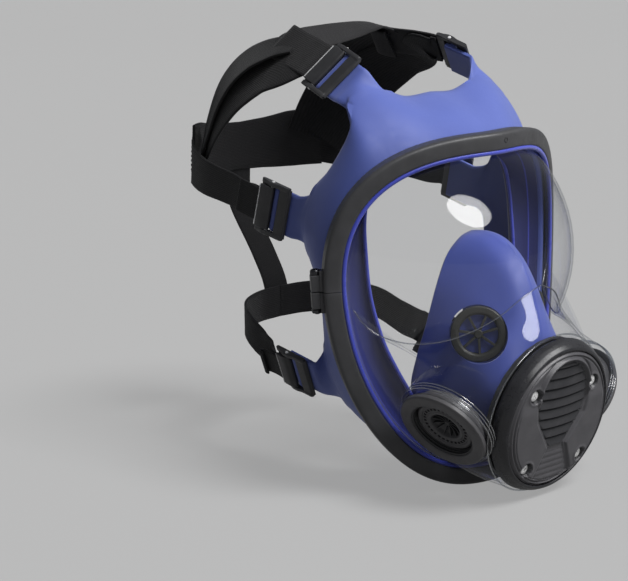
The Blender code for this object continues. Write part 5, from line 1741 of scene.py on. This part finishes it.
# the floor's glow is mostly for the eye and lights the object little from below
glow = eye_only(tree, strength=0.33, less_diffuse=0.28, less_glossy=0.20)
tree.links.new(glow, shader.inputs["Emission Strength"])
floor_mesh.materials.append(MATERIALS["studio_floor"])

world = bpy.data.worlds.new("studio")
SCENE.world = world
world.use_nodes = True
tree = world.node_tree
background = tree.nodes["Background"]
background.inputs[0].default_value = (0.92, 0.95, 1.0, 1.0)
tree.links.new(eye_only(tree, strength=0.38, less_diffuse=0.24, less_glossy=0.20),
               background.inputs[1])


# ================================================================ lights
def add_light(name, kind, energy, direction):
    light = bpy.data.lights.new(name, kind)
    light.energy = energy
    ob = bpy.data.objects.new(name, light)
    SCENE.collection.objects.link(ob)
    ob.rotation_euler = Vector(direction).to_track_quat("-Z", "Y").to_euler()
    return ob


def area(name, at, target, size, power):
    """A rectangular lamp; places and (x, y) size in metres, power in watts."""
    ob = add_light(name, "AREA", power, Vector(target) - Vector(at))
    ob.location = at
    ob.data.shape = "RECTANGLE"
    ob.data.size, ob.data.size_y = size
    ob.visible_camera = False
    return ob


def sun(name, towards, energy, angle, matt, gloss):
    """A distant soft lamp; matt and gloss say which kind of surface shine it takes part in."""
    ob = add_light(name, "SUN", energy, towards)
    ob.data.angle = math.radians(angle)
    ob.visible_diffuse = matt
    ob.visible_glossy = gloss


sun("key", towards=(-0.12, 0.50, -0.86), energy=2.9, angle=27, matt=True, gloss=False)
sun("key_shine", towards=(0.03, 0.73, -0.69), energy=1.2, angle=27, matt=False, gloss=True)
top = area("softbox_top", at=(0.5, -1.0, 2.2), target=(0, 0, 0), size=(0.9, 0.8), power=8.0)
fill = area("fill_front", at=(0.6, -1.5, 0.05), target=(0, 0, -0.03), size=(0.9, 0.6), power=6.5)
brow = area("brow_lamp", at=(0.22, -0.40, 0.42), target=(0, -0.06, 0.08), size=(0.30, 0.22),
            power=1.8)
top.visible_glossy = fill.visible_glossy = False
# the front and brow lamps are kept off the clear lens and the floor
near_lit = bpy.data.collections.new("near_lit")
for ob in list(bpy.data.objects):
    if (ob.type == "MESH" and not ob.name.startswith("visor") and ob is not floor
            and not ob.hide_render):
        near_lit.objects.link(ob)
fill.light_linking.receiver_collection = near_lit
brow.light_linking.receiver_collection = near_lit

# ================================================================ camera and finish
CAMERA_AT = (-937.177, -878.099, 286.770)  # mm
# columns are the camera's right, up and backward directions
CAMERA_AXES = ((0.72029607, 0.15459373, -0.67622063), (-0.69363699, 0.15149028, -0.70421476),
               (-0.00642633, 0.97629477, 0.21634978))
lens = bpy.data.cameras.new("camera")
lens.lens, lens.sensor_width, lens.sensor_fit = 122.675, 36.0, "HORIZONTAL"
lens.clip_start, lens.clip_end = 0.05, 60.0
camera = bpy.data.objects.new("camera", lens)
SCENE.collection.objects.link(camera)
camera.matrix_world = matrix_of(CAMERA_AXES, to_scene(CAMERA_AT))
SCENE.camera = camera
SCENE.view_settings.view_transform = "Standard"
SCENE.view_settings.look = "None"

bpy.context.view_layer.update()
